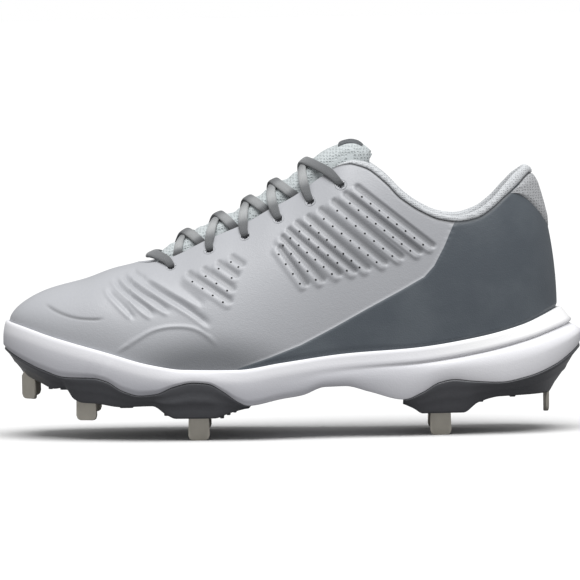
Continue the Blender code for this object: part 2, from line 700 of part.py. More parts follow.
def socket_cutter(row):
    """The pocket that a spike's root sits in, with a clearance all round."""
    bm = bmesh.new()
    bmesh.ops.create_cube(bm, size=1.0)
    depth = SPIKE_ROOT + CLEARANCE
    below = row.sink + 2 * MM
    size = (SPIKE_WIDTH + 2 * CLEARANCE, SPIKE_THICKNESS + SPIKE_BOW + 2 * CLEARANCE, depth + below)
    bmesh.ops.scale(bm, vec=size, verts=bm.verts)
    bmesh.ops.translate(bm, vec=(0, 0, (depth - below) / 2), verts=bm.verts)
    bm.transform(spike_frame(row))
    cutter = add_object(row.name + "_socket", bm, bpy.data.materials[0])
    cutter.hide_render = True
    cutter.display_type = "WIRE"
    return cutter


def build_insole(finish):
    """A flat sockliner on the midsole's bed, inside the upper's wall."""
    inset = UPPER_WALL + 2 * CLEARANCE
    rings = []
    for t in section_turns(SOLE_STATIONS // 2):
        sides = []
        for turn in (t, 2 * HALF_TURN - t):
            x, y = spread(turn, -inset)
            low = float(bed_height(turn)) + CLEARANCE
            sides.append([(x, y, low + INSOLE_THICKNESS), (x, y, low)])
        rings.append(np.array(sides[0] + sides[1][::-1]))
    return add_object("insole", loft(rings), finish)


def tongue_offset(along, width):
    """How far the tongue's face lies off the last: up in the throat, tucked under the eyestay."""
    gap = THROAT_SHARE(along) * THROAT_GAP
    tuck = np.clip((np.abs(width) - gap + TONGUE_TUCK_START) / TONGUE_TUCK_RUN, 0, 1)
    tuck = np.maximum(tuck, np.clip((TONGUE_FREE - along) / (TONGUE_FREE - TONGUE_TIGHT), 0, 1))
    return -CLEARANCE - tuck * (UPPER_WALL + 3 * CLEARANCE)


def build_tongue(finish):
    """The padded tongue, a curved pad that thickens towards its rounded top."""
    rings = []
    shares = np.linspace(-1, 1, 9)
    for along in np.concatenate([[0.215, 0.244, 0.270], np.linspace(0.285, 0.614, 13), [0.625, TONGUE_END]]):
        widths = shares * float(TONGUE_SHARE(along)) * TONGUE_HALF_WIDTH
        end = np.clip((along - TONGUE_BEND) / (TONGUE_END - TONGUE_BEND), 0, 1)
        roll = TONGUE_THICKNESS * 0.9 * end**2
        thick = TONGUE_THICKNESS * np.clip(0.55 + 1.2 * (along - 0.25), 0.5, 1.0) - 0.8 * roll
        face = tongue_offset(along, widths) - roll
        edge = 1 - 0.7 * np.abs(shares) ** 4
        outside = across(along, widths, face)
        inside = across(along, widths, face - thick * edge)
        rings.append(np.concatenate([outside, inside[::-1]]))
    return add_object("tongue", loft(rings, closed_start=True, closed_end=True), finish)


def lace_bar(start, end, lift):
    """One straight run of lace over the tongue, from an eyelet to one on the other side."""
    rings = []
    for share in np.linspace(0, 1, 6):
        along = start[0] + (end[0] - start[0]) * share
        width = start[1] + (end[1] - start[1]) * share
        here = across(along, width)
        out = across(along, width, MM) - here
        out /= np.linalg.norm(out)
        ahead = across(along + 0.01 * (end[0] - start[0]), width + 0.01 * (end[1] - start[1])) - here
        side = np.cross(out, ahead)
        side /= np.linalg.norm(side)
        low, high, half = lift, lift + LACE_THICKNESS, LACE_WIDTH / 2
        rings.append(np.array([
            here + side * half * 0.7 + out * low, here + side * half + out * (low + high) / 2,
            here + side * half * 0.6 + out * high, here - side * half * 0.6 + out * high,
            here - side * half + out * (low + high) / 2, here - side * half * 0.7 + out * low,
        ]))
    return loft(rings, closed_start=True, closed_end=True)


def build_laces(finish):
    """Every crossing and the lowest bar, joined where they meet, clear of tongue and eyestay."""
    reach = [float(THROAT_SHARE(a)) * THROAT_GAP + EYELET_INSET - EYELET_RADIUS for a in EYELET_ROWS]
    runs = [((EYELET_ROWS[0], -reach[0]), (EYELET_ROWS[0], reach[0]))]
    for i in range(len(EYELET_ROWS) - 1):
        for side in (-1, 1):
            runs.append(((EYELET_ROWS[i], side * reach[i]), (EYELET_ROWS[i + 1], -side * reach[i + 1])))
    laces = None
    for number, (start, end) in enumerate(runs):
        lift = LACE_LIFT + LACE_STAGGER * number
        name = "laces" if laces is None else f"lace_run_{number}"
        bar = add_object(name, lace_bar(start, end, lift), finish)
        if laces is None:
            laces = bar
            continue
        bar.hide_render = True
        bar.display_type = "WIRE"
        joined = laces.modifiers.new(bar.name, "BOOLEAN")
        joined.operation = "UNION"
        joined.solver = "EXACT"
        joined.object = bar
    return laces


def overlay(name, rows, columns, place, thickness, finish, relief=None):
    """A thin piece on the upper: place() gives turn and height, relief() what stands up from it."""
    u, v = np.meshgrid(np.linspace(0, 1, columns), np.linspace(0, 1, rows))
    turn, height = place(u, v)
    low = skin(turn, height, np.full(turn.shape, OVERLAY_GAP))
    rise = thickness if relief is None else thickness + relief(u, v)
    high = skin(turn, height, np.full(turn.shape, OVERLAY_GAP) + rise)
    return add_object(name, slab(high, low), finish)


def lip_clearance(turn):
    """The lowest height at which an overlay clears the sole's lip."""
    z = lip_height(turn) + 2 * CLEARANCE + 0.4 * MM
    return angle_at_height(turn, z) / edge_angle(turn)


def crowd_heel(u):
    """Shares from 0 to 1 that lie closer together in the middle, round the heel."""
    from_middle = 2 * u - 1
    return 0.5 + 0.5 * np.sign(from_middle) * np.abs(from_middle) ** 1.5


def counter_top(turn):
    """How high the counter reaches, and where the heel tab begins over it."""
    top = curve_of([row.section for row in COUNTER_TOP], [row.height for row in COUNTER_TOP])
    return top(half_turn(turn))


def counter_place(u, v):
    front = {
        side: curve_of([row.height for row in COUNTER_FRONT], [getattr(row, side) for row in COUNTER_FRONT])
        for side in ("lateral", "medial")
    }
    start = front["lateral"](v)
    end = 2 * HALF_TURN - front["medial"](v)
    turn = start + (end - start) * crowd_heel(u)
    low = lip_clearance(turn)
    return turn, low + (counter_top(turn) - low) * v


def tab_place(u, v):
    turn = HEEL_TAB_FRONT + (2 * HALF_TURN - 2 * HEEL_TAB_FRONT) * crowd_heel(u)
    low = counter_top(turn) + TAB_GAP_SHARE
    return turn, low + (TAB_TOP_SHARE - low) * v


def rib_place(side):
    """The ribbed quarter as a four-sided patch; u runs down a rib and v from the front rib to the rear."""
    shares = [row.share for row in RIB_ENDS]
    ends = {name: curve_of(shares, [getattr(row, name) for row in RIB_ENDS]) for name in RibEnds._fields[1:]}

    def place(u, v):
        turn = ends["head"](v) + (ends["foot"](v) - ends["head"](v)) * u
        height = ends["head_height"](v) + (ends["foot_height"](v) - ends["head_height"](v)) * u
        if side == "medial":
            return 2 * HALF_TURN - turn, height - MEDIAL_RIB_DROP
        return turn, height

    return place


def rib_relief(u, v):
    wave = 0.5 + 0.5 * np.cos(2 * math.pi * RIB_COUNT * v)
    ends = np.clip(np.minimum(u, 1 - u) / 0.12, 0, 1)
    return RIB_HEIGHT * wave * ends


def recentre():
    """Move everything so that the origin is under the middle of the shoe."""
    graph = bpy.context.evaluated_depsgraph_get()
    corners = []
    for obj in bpy.data.objects:
        if not obj.hide_render:
            made = obj.evaluated_get(graph).to_mesh()
            corners += [vert.co.copy() for vert in made.vertices]
    points = np.array(corners)
    middle = (points.min(axis=0) + points.max(axis=0)) / 2
    for obj in bpy.data.objects:
        obj.data.transform(Matrix.Translation((-middle[0], -middle[1], 0)))


def main():
    clear_scene()
    grey = material("light_grey_synthetic", (0.46, 0.47, 0.49), 0.55)
    dark = material("slate_film", (0.09, 0.11, 0.13), 0.45)
    white = material("white_foam", (0.85, 0.85, 0.88), 0.5)
    plate = material("dark_plate", (0.055, 0.058, 0.065), 0.4)
    steel = material("steel", (0.42, 0.40, 0.36), 0.35, 0.9)
    mesh_cloth = material("tongue_mesh", (0.5, 0.53, 0.54), 0.85)
    cord = material("lace_cord", (0.16, 0.17, 0.19), 0.8)
    build_upper(grey)
    build_midsole(white)
    for row in PLATES:
        build_plate(row, plate)
    for row in SPIKES:
        build_spike(row, steel)
    build_insole(mesh_cloth)
    build_tongue(mesh_cloth)
    build_laces(cord)
    overlay("heel_counter", 7, 29, counter_place, OVERLAY_THICKNESS, dark)
    overlay("heel_tab", 5, 13, tab_place, HEEL_TAB_THICKNESS, grey)
    for side in ("lateral", "medial"):
        name = f"ribbed_quarter_{side}"
        overlay(name, 4 * RIB_COUNT + 1, 5, rib_place(side), OVERLAY_THICKNESS / 2, grey, rib_relief)
    recentre()


main()
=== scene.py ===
"""Dressed model of a low-cut baseball cleat for the left foot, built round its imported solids.

Toe towards -X, outer (lateral) side towards -Y, +Z up, in metres, as in the solids. Tables give the
last and the sole as shares of the shoe's own sizes; lines and panels on the upper are given as they lie
in the side view, in millimetres from the middle of the shoe and over the floor.
"""

import logging
import math
from collections.abc import Callable, Sequence
from dataclasses import dataclass, field
from enum import Enum

import bmesh
import bpy
import numpy as np
from mathutils import Matrix, Vector
from numpy.typing import NDArray


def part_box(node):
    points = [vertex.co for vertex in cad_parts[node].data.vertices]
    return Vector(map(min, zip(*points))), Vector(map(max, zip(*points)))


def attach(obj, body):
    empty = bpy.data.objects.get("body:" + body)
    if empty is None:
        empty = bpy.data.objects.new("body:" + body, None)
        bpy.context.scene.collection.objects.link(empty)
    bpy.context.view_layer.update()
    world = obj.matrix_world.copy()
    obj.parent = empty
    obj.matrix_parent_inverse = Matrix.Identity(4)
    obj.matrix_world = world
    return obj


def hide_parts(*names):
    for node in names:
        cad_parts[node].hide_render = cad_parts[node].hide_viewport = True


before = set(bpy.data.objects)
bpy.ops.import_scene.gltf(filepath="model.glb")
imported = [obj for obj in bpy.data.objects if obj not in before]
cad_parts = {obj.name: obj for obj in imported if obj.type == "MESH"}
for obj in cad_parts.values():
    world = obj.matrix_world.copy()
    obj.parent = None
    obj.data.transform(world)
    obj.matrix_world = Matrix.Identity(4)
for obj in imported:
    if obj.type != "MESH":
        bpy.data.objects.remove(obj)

Floats = NDArray[np.float64]
Curve = Callable[[Floats], Floats]
Rows = Sequence[tuple[float, ...]]
Table = Sequence[tuple[float, float]]
Colour = tuple[float, float, float]
Piece = bpy.types.Object
Material = bpy.types.Material
Tree = bpy.types.NodeTree
Node = bpy.types.Node
Link = bpy.types.NodeSocket

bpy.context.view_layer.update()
LOG = logging.getLogger("cleat")
MM = 0.001
CAMERA_DISTANCE = 3.0
CAMERA_ELEVATION = 3.0
# How far over the side view's zero the floor shows, in millimetres
FLOOR_LINE = 2.0

# Section rows from toe tip to heel: where the upper leaves the sole on the lateral and the medial side
# (x as a share of the upper's length, y of the ball width), where the section reaches the ridge (x of
# the sole's length, y of the ball width), how full its side and roof are, and how far the flare of toe
# and heel and the plate's undercut reach there.
SECTION_COLUMNS = (
    "lateral_x", "lateral_y", "medial_x", "medial_y", "ridge_x", "ridge_y", "side", "roof", "toe", "heel",
    "undercut",
)
SECTIONS = (
    (0.000, 0.080, 0.000, 0.080, 0.105, 0.075, 1.00, 1.00, 1.0, 0.00, 1.00),
    (0.006, -0.022, 0.005, 0.184, 0.108, 0.075, 1.00, 1.00, 1.0, 0.00, 1.00),
    (0.025, -0.128, 0.022, 0.288, 0.118, 0.075, 1.00, 0.97, 1.0, 0.00, 0.92),
    (0.072, -0.256, 0.065, 0.392, 0.139, 0.075, 0.97, 0.93, 1.0, 0.00, 0.70),
    (0.150, -0.370, 0.142, 0.465, 0.182, 0.072, 0.95, 0.92, 0.5, 0.00, 0.45),
    (0.240, -0.446, 0.233, 0.498, 0.252, 0.062, 1.05, 0.95, 0.0, 0.00, 0.34),
    (0.334, -0.486, 0.328, 0.494, 0.336, 0.052, 1.22, 1.00, 0.0, 0.00, 0.32),
    (0.429, -0.492, 0.429, 0.446, 0.426, 0.044, 1.24, 1.00, 0.0, 0.00, 0.32),
    (0.527, -0.458, 0.527, 0.378, 0.521, 0.036, 1.12, 1.00, 0.0, 0.00, 0.32),
    (0.632, -0.410, 0.632, 0.328, 0.621, 0.024, 1.00, 1.00, 0.0, 0.02, 0.32),
    (0.738, -0.378, 0.738, 0.318, 0.716, 0.010, 1.00, 1.00, 0.0, 0.07, 0.32),
    (0.834, -0.356, 0.834, 0.332, 0.790, 0.000, 1.10, 1.00, 0.0, 0.16, 0.32),
    (0.914, -0.304, 0.914, 0.296, 0.830, 0.000, 1.30, 1.00, 0.0, 0.36, 0.36),
    (0.967, -0.207, 0.967, 0.206, 0.845, 0.000, 1.50, 1.00, 0.0, 0.72, 0.44),
    (0.994, -0.086, 0.994, 0.086, 0.850, 0.000, 1.62, 1.00, 0.0, 0.97, 0.50),
    (1.000, 0.000, 1.000, 0.000, 0.850, 0.000, 1.65, 1.00, 0.0, 1.00, 0.52),
)
# Heights along the sole over the ball pods, as shares of the sole's depth: (along, share) rows
LIP = (
    (0.000, 0.905), (0.030, 0.866), (0.090, 0.762), (0.183, 0.620), (0.260, 0.502), (0.315, 0.457),
    (0.405, 0.449), (0.481, 0.505), (0.593, 0.578), (0.706, 0.614), (0.818, 0.703), (0.894, 0.806),
    (0.950, 0.930), (0.972, 0.975), (1.000, 1.015),
)
BED = (
    (0.000, 0.823), (0.030, 0.763), (0.090, 0.641), (0.183, 0.493), (0.260, 0.408), (0.300, 0.392),
    (0.345, 0.390), (0.395, 0.345), (0.481, 0.378), (0.593, 0.451), (0.706, 0.487), (0.818, 0.576),
    (0.894, 0.685), (0.950, 0.818), (0.972, 0.873), (1.000, 0.923),
)
SPLIT = (
    (0.000, 0.654), (0.034, 0.551), (0.071, 0.460), (0.112, 0.392), (0.160, 0.386), (0.183, 0.355),
    (0.210, 0.268), (0.240, 0.223), (0.266, 0.236), (0.297, 0.303), (0.330, 0.342), (0.356, 0.330),
    (0.382, 0.254), (0.409, 0.150), (0.424, 0.118), (0.481, 0.174), (0.516, 0.203), (0.555, 0.275),
    (0.590, 0.278), (0.631, 0.221), (0.690, 0.141), (0.721, 0.203), (0.751, 0.295), (0.777, 0.321),
    (0.807, 0.303), (0.856, 0.286), (0.901, 0.328), (0.950, 0.428), (0.979, 0.529), (1.000, 0.620),
)
KEEL = (
    (0.000, 0.480), (0.034, 0.388), (0.064, 0.324), (0.090, 0.270), (0.109, 0.285), (0.124, 0.180),
    (0.140, 0.146), (0.161, 0.141), (0.206, 0.109), (0.260, 0.118), (0.286, 0.030), (0.300, 0.000),
    (0.366, 0.000), (0.394, 0.050), (0.430, 0.090), (0.680, 0.100), (0.706, 0.050), (0.722, 0.000),
    (0.792, 0.000), (0.818, 0.092), (0.856, 0.141), (0.930, 0.146), (0.960, 0.146), (1.000, 0.300),
)
MEDIAL_ARCH = ((0.00, 0.00), (0.43, 0.00), (0.55, 0.10), (0.67, 0.00), (1.00, 0.00))
# The ridge over the lip as shares of the instep height, the collar's edge as shares of the heel
# height, and half the throat's and the tongue's width as shares of their own
RIDGE = (
    (0.105, 0.245), (0.154, 0.318), (0.196, 0.396), (0.237, 0.460), (0.260, 0.500), (0.308, 0.586),
    (0.363, 0.678), (0.413, 0.742), (0.458, 0.795), (0.510, 0.850), (0.552, 0.922), (0.597, 0.998),
    (0.620, 1.018), (0.660, 1.055), (0.720, 1.110), (0.790, 1.120), (0.850, 1.110),
)
COLLAR = (
    (0.000, 3.000), (0.560, 1.560), (0.600, 1.420), (0.640, 1.310), (0.664, 1.230), (0.690, 1.115),
    (0.722, 1.005), (0.760, 0.915), (0.795, 0.880), (0.825, 0.895), (0.855, 0.945), (0.885, 1.010),
    (0.915, 1.045), (0.945, 1.040), (0.962, 0.995),
)
THROAT = (
    (0.236, 0.00), (0.240, 0.34), (0.248, 0.60), (0.262, 0.84), (0.285, 1.00), (0.400, 1.02),
    (0.500, 1.00), (0.620, 1.02), (0.660, 0.90), (0.740, 0.00), (0.850, 0.00),
)
TONGUE_SHAPE = ((0.215, 0.70), (0.260, 0.90), (0.400, 1.00), (0.590, 1.05), (0.618, 1.00), (0.632, 0.80))
# How far the padded tongue swells up in the middle of the throat: (along, millimetres)
CROWN = (
    (0.215, 0.3), (0.250, 1.0), (0.270, 1.5), (0.330, 1.8), (0.400, 1.2), (0.456, 2.4), (0.508, 3.2),
    (0.560, 3.4), (0.588, 1.4), (0.612, 0.3), (0.632, 0.0),
)
EYELET_ROWS = (0.300, 0.365, 0.427, 0.486, 0.542, 0.596)
# Where the heel tab begins over the dark counter: (section, share of the wall's height)
TAB_FOOT = (
    (10.0, 0.95), (12.2, 0.915), (12.3, 0.890), (12.45, 0.862), (12.7, 0.812), (13.02, 0.746), (13.35, 0.676),
    (13.73, 0.601), (14.25, 0.543), (15.0, 0.510),
)
TOE_SECTIONS = 4
# The seam under the collar's soft band: (section, share of the wall's height)
COLLAR_SEAM = (
    (8.60, 1.000), (8.88, 0.975), (9.16, 0.955), (9.43, 0.948), (9.69, 0.943), (9.93, 0.955), (10.30, 0.962),
    (10.60, 0.962), (10.88, 0.956), (11.31, 0.936), (11.82, 0.926), (12.16, 0.917), (12.60, 0.912),
    (13.15, 0.930), (15.00, 0.950),
)

# Where spikes stand: name, along (share of the sole's length), across (of the ball width), turn in
# degrees, and how far the blade is let into its pod in millimetres
SPIKES = (
    ("spike_toe_lateral", 0.047, -0.045, -52.0, 0.6),
    ("spike_toe_medial", 0.047, 0.205, 52.0, 0.6),
    ("spike_fore_lateral", 0.147, -0.270, -18.0, 2.4),
    ("spike_fore_medial", 0.147, 0.365, 12.0, 2.4),
    ("spike_ball_lateral", 0.339, -0.395, 0.0, 0.0),
    ("spike_ball_medial", 0.339, 0.395, 0.0, 0.0),
    ("spike_heel_lateral", 0.753, -0.280, 0.0, 0.0),
    ("spike_heel_medial", 0.753, 0.240, 0.0, 0.0),
    ("spike_heel_rear", 0.938, 0.000, 90.0, 1.6),
)

# The dark counter's outline in the side view
COUNTER_EDGE = (
    (-28.5, 36.9), (-12.0, 42.5), (4.7, 48.8), (22.0, 57.5), (39.4, 66.9), (57.0, 76.0), (69.5, 83.0),
    (74.5, 88.5), (79.9, 98.5), (84.0, 108.0), (86.5, 113.0), (97.6, 119.0), (107.0, 127.5),
    (114.5, 132.5), (122.5, 128.5), (130.0, 121.5), (137.0, 113.0), (165.0, 104.0),
)
# Grip lugs under the plates: x, length, drop and how far in from the edge, in millimetres
LUGS = (
    (-130.6, 2.4, 0.8, 9.0), (-122.4, 4.6, 1.5, 9.5), (-88.0, 7.0, 0.9, 10.0), (-66.0, 3.2, 0.7, 10.0),
    (-36.5, 2.2, 1.4, 9.5), (-33.0, 2.2, 1.2, 9.5), (-29.6, 2.0, 0.8, 9.0), (98.5, 3.0, 0.7, 10.0),
    (118.0, 3.2, 1.1, 10.0),
)
# Middle lines of the moulded ribs behind the eyestay and in front of it: (top x, top z, foot x, foot z)
REAR_RIBS = (
    (33.7, 127.5, 71.9, 97.0), (27.5, 124.2, 65.2, 94.0), (21.3, 120.4, 55.5, 91.5),
    (14.5, 116.1, 47.2, 88.6), (7.8, 112.6, 38.1, 86.1), (2.1, 109.6, 31.4, 84.7),
    (-2.3, 106.0, 23.4, 83.3), (-5.7, 102.4, 14.5, 80.5), (-7.3, 97.3, 5.7, 78.9),
)
FRONT_RIBS = (
    (-54.1, 84.1, -33.3, 70.0), (-46.2, 86.2, -31.6, 76.3), (-38.6, 89.4, -29.7, 83.1),
    (-31.6, 92.3, -26.5, 88.9),
)


class Side(Enum):
    """The outer and the inner side of the shoe."""

    LATERAL = -1
    MEDIAL = 1


class Face(Enum):
    """How a surface pattern is made."""

    GRAIN = "grain"
    WEAVE = "weave"
    MESH = "mesh"
    FOAM = "foam"
    MOULD = "mould"
    METAL = "metal"


def between(t: Floats, first: Floats, last: Floats, leaving: Floats, arriving: Floats) -> Floats:
    """A smooth passage between two values.

    Args:
        t: how far along it, from 0 to 1.
        first: the value that it starts from.
        last: the value that it ends at.
        leaving: its slope at the start.
        arriving: its slope at the end.

    Returns:
        The value there.
    """
    return (
        first * (1 + 2 * t) * (1 - t) ** 2
        + leaving * t * (1 - t) ** 2
        + last * t**2 * (3 - 2 * t)
        + arriving * t**2 * (t - 1)
    )


def curve_of(rows: Table) -> Curve:
    """A smooth curve through the rows of a table that never overshoots them.

    Args:
        rows: (place, value) pairs in rising order of place.

    Returns:
        A function from places to values.
    """
    x = np.array([row[0] for row in rows], float)
    y = np.array([row[1] for row in rows], float)
    step = np.diff(x)
    slope = np.diff(y) / step
    tangent = np.zeros(len(x))
    tangent[0], tangent[-1] = slope[0], slope[-1]
    for i in range(1, len(x) - 1):
        if slope[i - 1] * slope[i] > 0:
            a = 2 * step[i] + step[i - 1]
            b = step[i] + 2 * step[i - 1]
            tangent[i] = (a + b) / (a / slope[i - 1] + b / slope[i])

    def value(at: Floats) -> Floats:
        """The curve's value at a place.

        Args:
            at: the place; one past an end counts as that end.

        Returns:
            The value there.
        """
        at = np.clip(np.asarray(at, float), x[0], x[-1])
        i = np.clip(np.searchsorted(x, at) - 1, 0, len(x) - 2)
        t = (at - x[i]) / step[i]
        return between(t, y[i], y[i + 1], tangent[i] * step[i], tangent[i + 1] * step[i])

    return value


def closed_curve(points: Table) -> Curve:
    """A closed cubic spline through points.

    Args:
        points: the points in order, once round.

    Returns:
        A function from turns (one for each point) to places.
    """
    knots = np.array(points, float)
    n = len(knots)
    system = 4 * np.eye(n) + np.roll(np.eye(n), 1, axis=1) + np.roll(np.eye(n), -1, axis=1)
    slopes = np.linalg.solve(system, 3 * (np.roll(knots, -1, axis=0) - np.roll(knots, 1, axis=0)))

    def point(turn: Floats) -> Floats:
        """The place that a turn round the curve reaches.

        Args:
            turn: how many points on from the first.

        Returns:
            The place there.
        """
        turn = np.asarray(turn, float) % n
        i = np.floor(turn).astype(int) % n
        j = (i + 1) % n
        t = (turn - np.floor(turn))[..., None]
        return between(t, knots[i], knots[j], slopes[i], slopes[j])

    return point


def smooth_step(value: Floats, low: float, high: float) -> Floats:
    """0 below low, 1 above high and a soft rise between them."""
    t = np.clip((np.asarray(value, float) - low) / (high - low), 0, 1)
    return t * t * (3 - 2 * t)


def window(value: Floats, rise: tuple[float, float], fall: tuple[float, float]) -> Floats:
    """1 between a soft rise and a soft fall, and 0 outside them."""
    return smooth_step(value, *rise) * (1 - smooth_step(value, *fall))


def bell(away: Floats, width: float) -> Floats:
    """1 where away is 0, and less the farther away, softly, within about width."""
    return np.exp(-((away / width) ** 2))


def rim(u: Floats, v: Floats, u_steep: float, v_steep: float) -> Floats:
    """0 on the edges of a patch that runs from 0 to 1 both ways, and 1 inside them."""
    return np.clip(np.minimum(np.minimum(u, 1 - u) * u_steep, np.minimum(v, 1 - v) * v_steep), 0, 1)


def with_height(plan: Floats, z: Floats) -> Floats:
    """Places in plan with their heights as a third number."""
    return np.concatenate([plan, z[..., None]], axis=-1)


def unit(vectors: Floats) -> Floats:
    """The vectors with length one."""
    return vectors / np.maximum(np.linalg.norm(vectors, axis=-1, keepdims=True), 1e-12)


@dataclass(frozen=True)
class Last:
    """The last and the sole's long lines, from the shoe's own sizes, in metres."""

    upper_length: float = 283.6 * MM
    ball_width: float = 98.0 * MM
    instep_height: float = 107.0 * MM
    heel_height: float = 72.0 * MM
    throat_gap: float = 18.0 * MM
    sole_depth: float = 55.2 * MM
    spike_drop: float = 11.6 * MM
    toe_flare: float = 3.6 * MM
    side_flare: float = 3.4 * MM
    heel_flare: float = 13.0 * MM
    middle_y: float = 0.0
    crown_width: float = 13.0 * MM
    edge_blend: float = 0.14
    curves: dict[str, Curve] = field(default_factory=dict)

    def __post_init__(self) -> None:
        """Makes a curve of each table."""
        for number, name in enumerate(SECTION_COLUMNS):
            self.curves[name] = curve_of([(i, row[number]) for i, row in enumerate(SECTIONS)])
        tables = {
            "lip": LIP, "bed": BED, "split": SPLIT, "keel": KEEL, "arch": MEDIAL_ARCH, "ridge": RIDGE,
            "collar": COLLAR, "throat": THROAT, "tongue": TONGUE_SHAPE, "tab_foot": TAB_FOOT,
            "seam": COLLAR_SEAM, "crown": CROWN,
        }
        for name, rows in tables.items():
            self.curves[name] = curve_of(rows)
        lateral = [(row[0], row[1]) for row in SECTIONS]
        medial = [(row[2], row[3]) for row in SECTIONS[-2:0:-1]]
        front = self.sole_front + self.toe_flare
        points = [(front + x * self.upper_length, self.side_y(y)) for x, y in lateral + medial]
        self.curves["outline"] = closed_curve(points)

    @property
    def half(self) -> int:
        """Turns from the toe's tip round to the heel."""
        return len(SECTIONS) - 1

    @property
    def sole_length(self) -> float:
        """Length of the whole sole."""
        return self.toe_flare + self.upper_length + self.heel_flare

    @property
    def sole_front(self) -> float:
        """Where the sole begins on X."""
        return -self.sole_length / 2

    def side_y(self, share: Floats) -> Floats:
        """A share of the ball width as a place on Y."""
        return share * self.ball_width + self.middle_y

    def row(self, turn: Floats) -> Floats:
        """The section row that a turn belongs to, on either side."""
        turn = np.asarray(turn, float) % (2 * self.half)
        return np.minimum(turn, 2 * self.half - turn)

    def share(self, x: Floats) -> Floats:
        """X as a share of the sole's length."""
        return (np.asarray(x) - self.sole_front) / self.sole_length

    def outline(self, turn: Floats, offset: float | Floats = 0.0) -> Floats:
        """Where the upper leaves the sole, in plan, moved outwards by an offset.

        Args:
            turn: where round the outline, in section rows.
            offset: how far outwards from it.

        Returns:
            The places, as x and y.
        """
        turn = np.asarray(turn, float)
        curve = self.curves["outline"]
        step = unit(curve(turn + 0.01) - curve(turn - 0.01))
        outward = np.stack([step[..., 1], -step[..., 0]], axis=-1)
        return curve(turn) + outward * np.asarray(offset, float)[..., None]

    def level(self, table: str, x: Floats, turn: Floats | None = None) -> Floats:
        """Height over the floor of one of the sole's long lines at X; the medial arch is higher.

        Args:
            table: the line's name among the curves.
            x: places along the shoe.
            turn: where round the outline, for the arch; without it the lateral side's height is given.

        Returns:
            The heights.
        """
        z = self.spike_drop + self.curves[table](self.share(x)) * self.sole_depth
        if turn is not None:
            medial = np.asarray(turn, float) % (2 * self.half) > self.half
            z = z + np.where(medial, self.curves["arch"](self.share(x)), 0.0) * self.sole_depth
        return z

    def at_outline(self, table: str, turn: Floats) -> Floats:
        """Height of a long line where the upper leaves the sole."""
        return self.level(table, self.outline(turn)[..., 0])

    def flare(self, turn: Floats) -> Floats:
        """How far the midsole stands out past the upper.

        Args:
            turn: where round the outline, in section rows.

        Returns:
            The distance, outwards.
        """
        t = self.row(turn)
        toe = (self.toe_flare - self.side_flare) * self.curves["toe"](t)
        heel = (self.heel_flare - self.side_flare) * self.curves["heel"](t)
        return self.side_flare + toe + heel

    def ridge_height(self, along: Floats) -> Floats:
        """Height of the ridge over the floor at a share of the sole's length."""
        lip = self.level("lip", self.sole_front + along * self.sole_length)
        return lip + self.curves["ridge"](along) * self.instep_height

    def ridge_plan(self, turn: Floats) -> tuple[Floats, Floats]:
        """Where each section's top lies in plan, as x and y.

        Args:
            turn: where round the outline, in section rows.

        Returns:
            The two numbers.
        """
        row = self.row(turn)
        x = self.sole_front + self.curves["ridge_x"](row) * self.sole_length
        return x, self.side_y(self.curves["ridge_y"](row))

    def ridge(self, turn: Floats) -> tuple[Floats, Floats, Floats, Floats]:
        """The top of each section, and how steep the ridge is there.

        Args:
            turn: where round the outline, in section rows.

        Returns:
            x, y and z of the top, and the ridge's slope along X there.
        """
        step = 0.01
        along = self.curves["ridge_x"](self.row(turn))
        top = self.ridge_height(along)
        slope = (self.ridge_height(along + step) - top) / (step * self.sole_length)
        at_toe = np.clip(1 - self.row(turn) / TOE_SECTIONS, 0, 1)
        return *self.ridge_plan(turn), top, slope * at_toe

    def angle_at_height(self, turn: Floats, z: Floats) -> Floats:
        """The angle up the section where it reaches a height.

        Args:
            turn: where round the outline, in section rows.
            z: the height over the floor.

        Returns:
            The angle; past the top it goes on rising.
        """
        foot = self.at_outline("lip", turn)
        top = self.ridge(turn)[2]
        share = (z - foot) / (top - foot)
        inside = np.arcsin(np.clip(share, 0, 1) ** (1 / self.curves["roof"](self.row(turn))))
        return np.where(share >= 1, math.pi / 2 + (share - 1), inside)

    def angle_at_width(self, turn: Floats, width: Floats) -> Floats:
        """The angle where the lateral side is this far from the ridge; the medial side matches it.

        Args:
            turn: where round the outline, in section rows.
            width: the distance from the ridge.

        Returns:
            The angle.
        """
        t = self.row(turn)
        ridge_y = self.side_y(self.curves["ridge_y"](t))
        whole = np.maximum(np.abs(self.outline(t)[..., 1] - ridge_y), MM)
        return np.arccos(np.clip(width / whole, 0, 1) ** (1 / self.curves["side"](t)))

    def edge(self, turn: Floats) -> Floats:
        """The angle where each section's wall ends: at ridge, throat or collar.

        Args:
            turn: where round the outline, in section rows.

        Returns:
            The angle.
        """
        along = self.curves["ridge_x"](self.row(turn))
        throat = self.angle_at_width(turn, self.curves["throat"](along) * self.throat_gap)
        rise = self.curves["collar"](self.share(self.outline(turn)[..., 0])) * self.heel_height
        collar = self.angle_at_height(turn, self.at_outline("lip", turn) + rise)
        h = np.clip(0.5 + 0.5 * (collar - throat) / self.edge_blend, 0, 1)
        return collar + (throat - collar) * h - self.edge_blend * h * (1 - h)

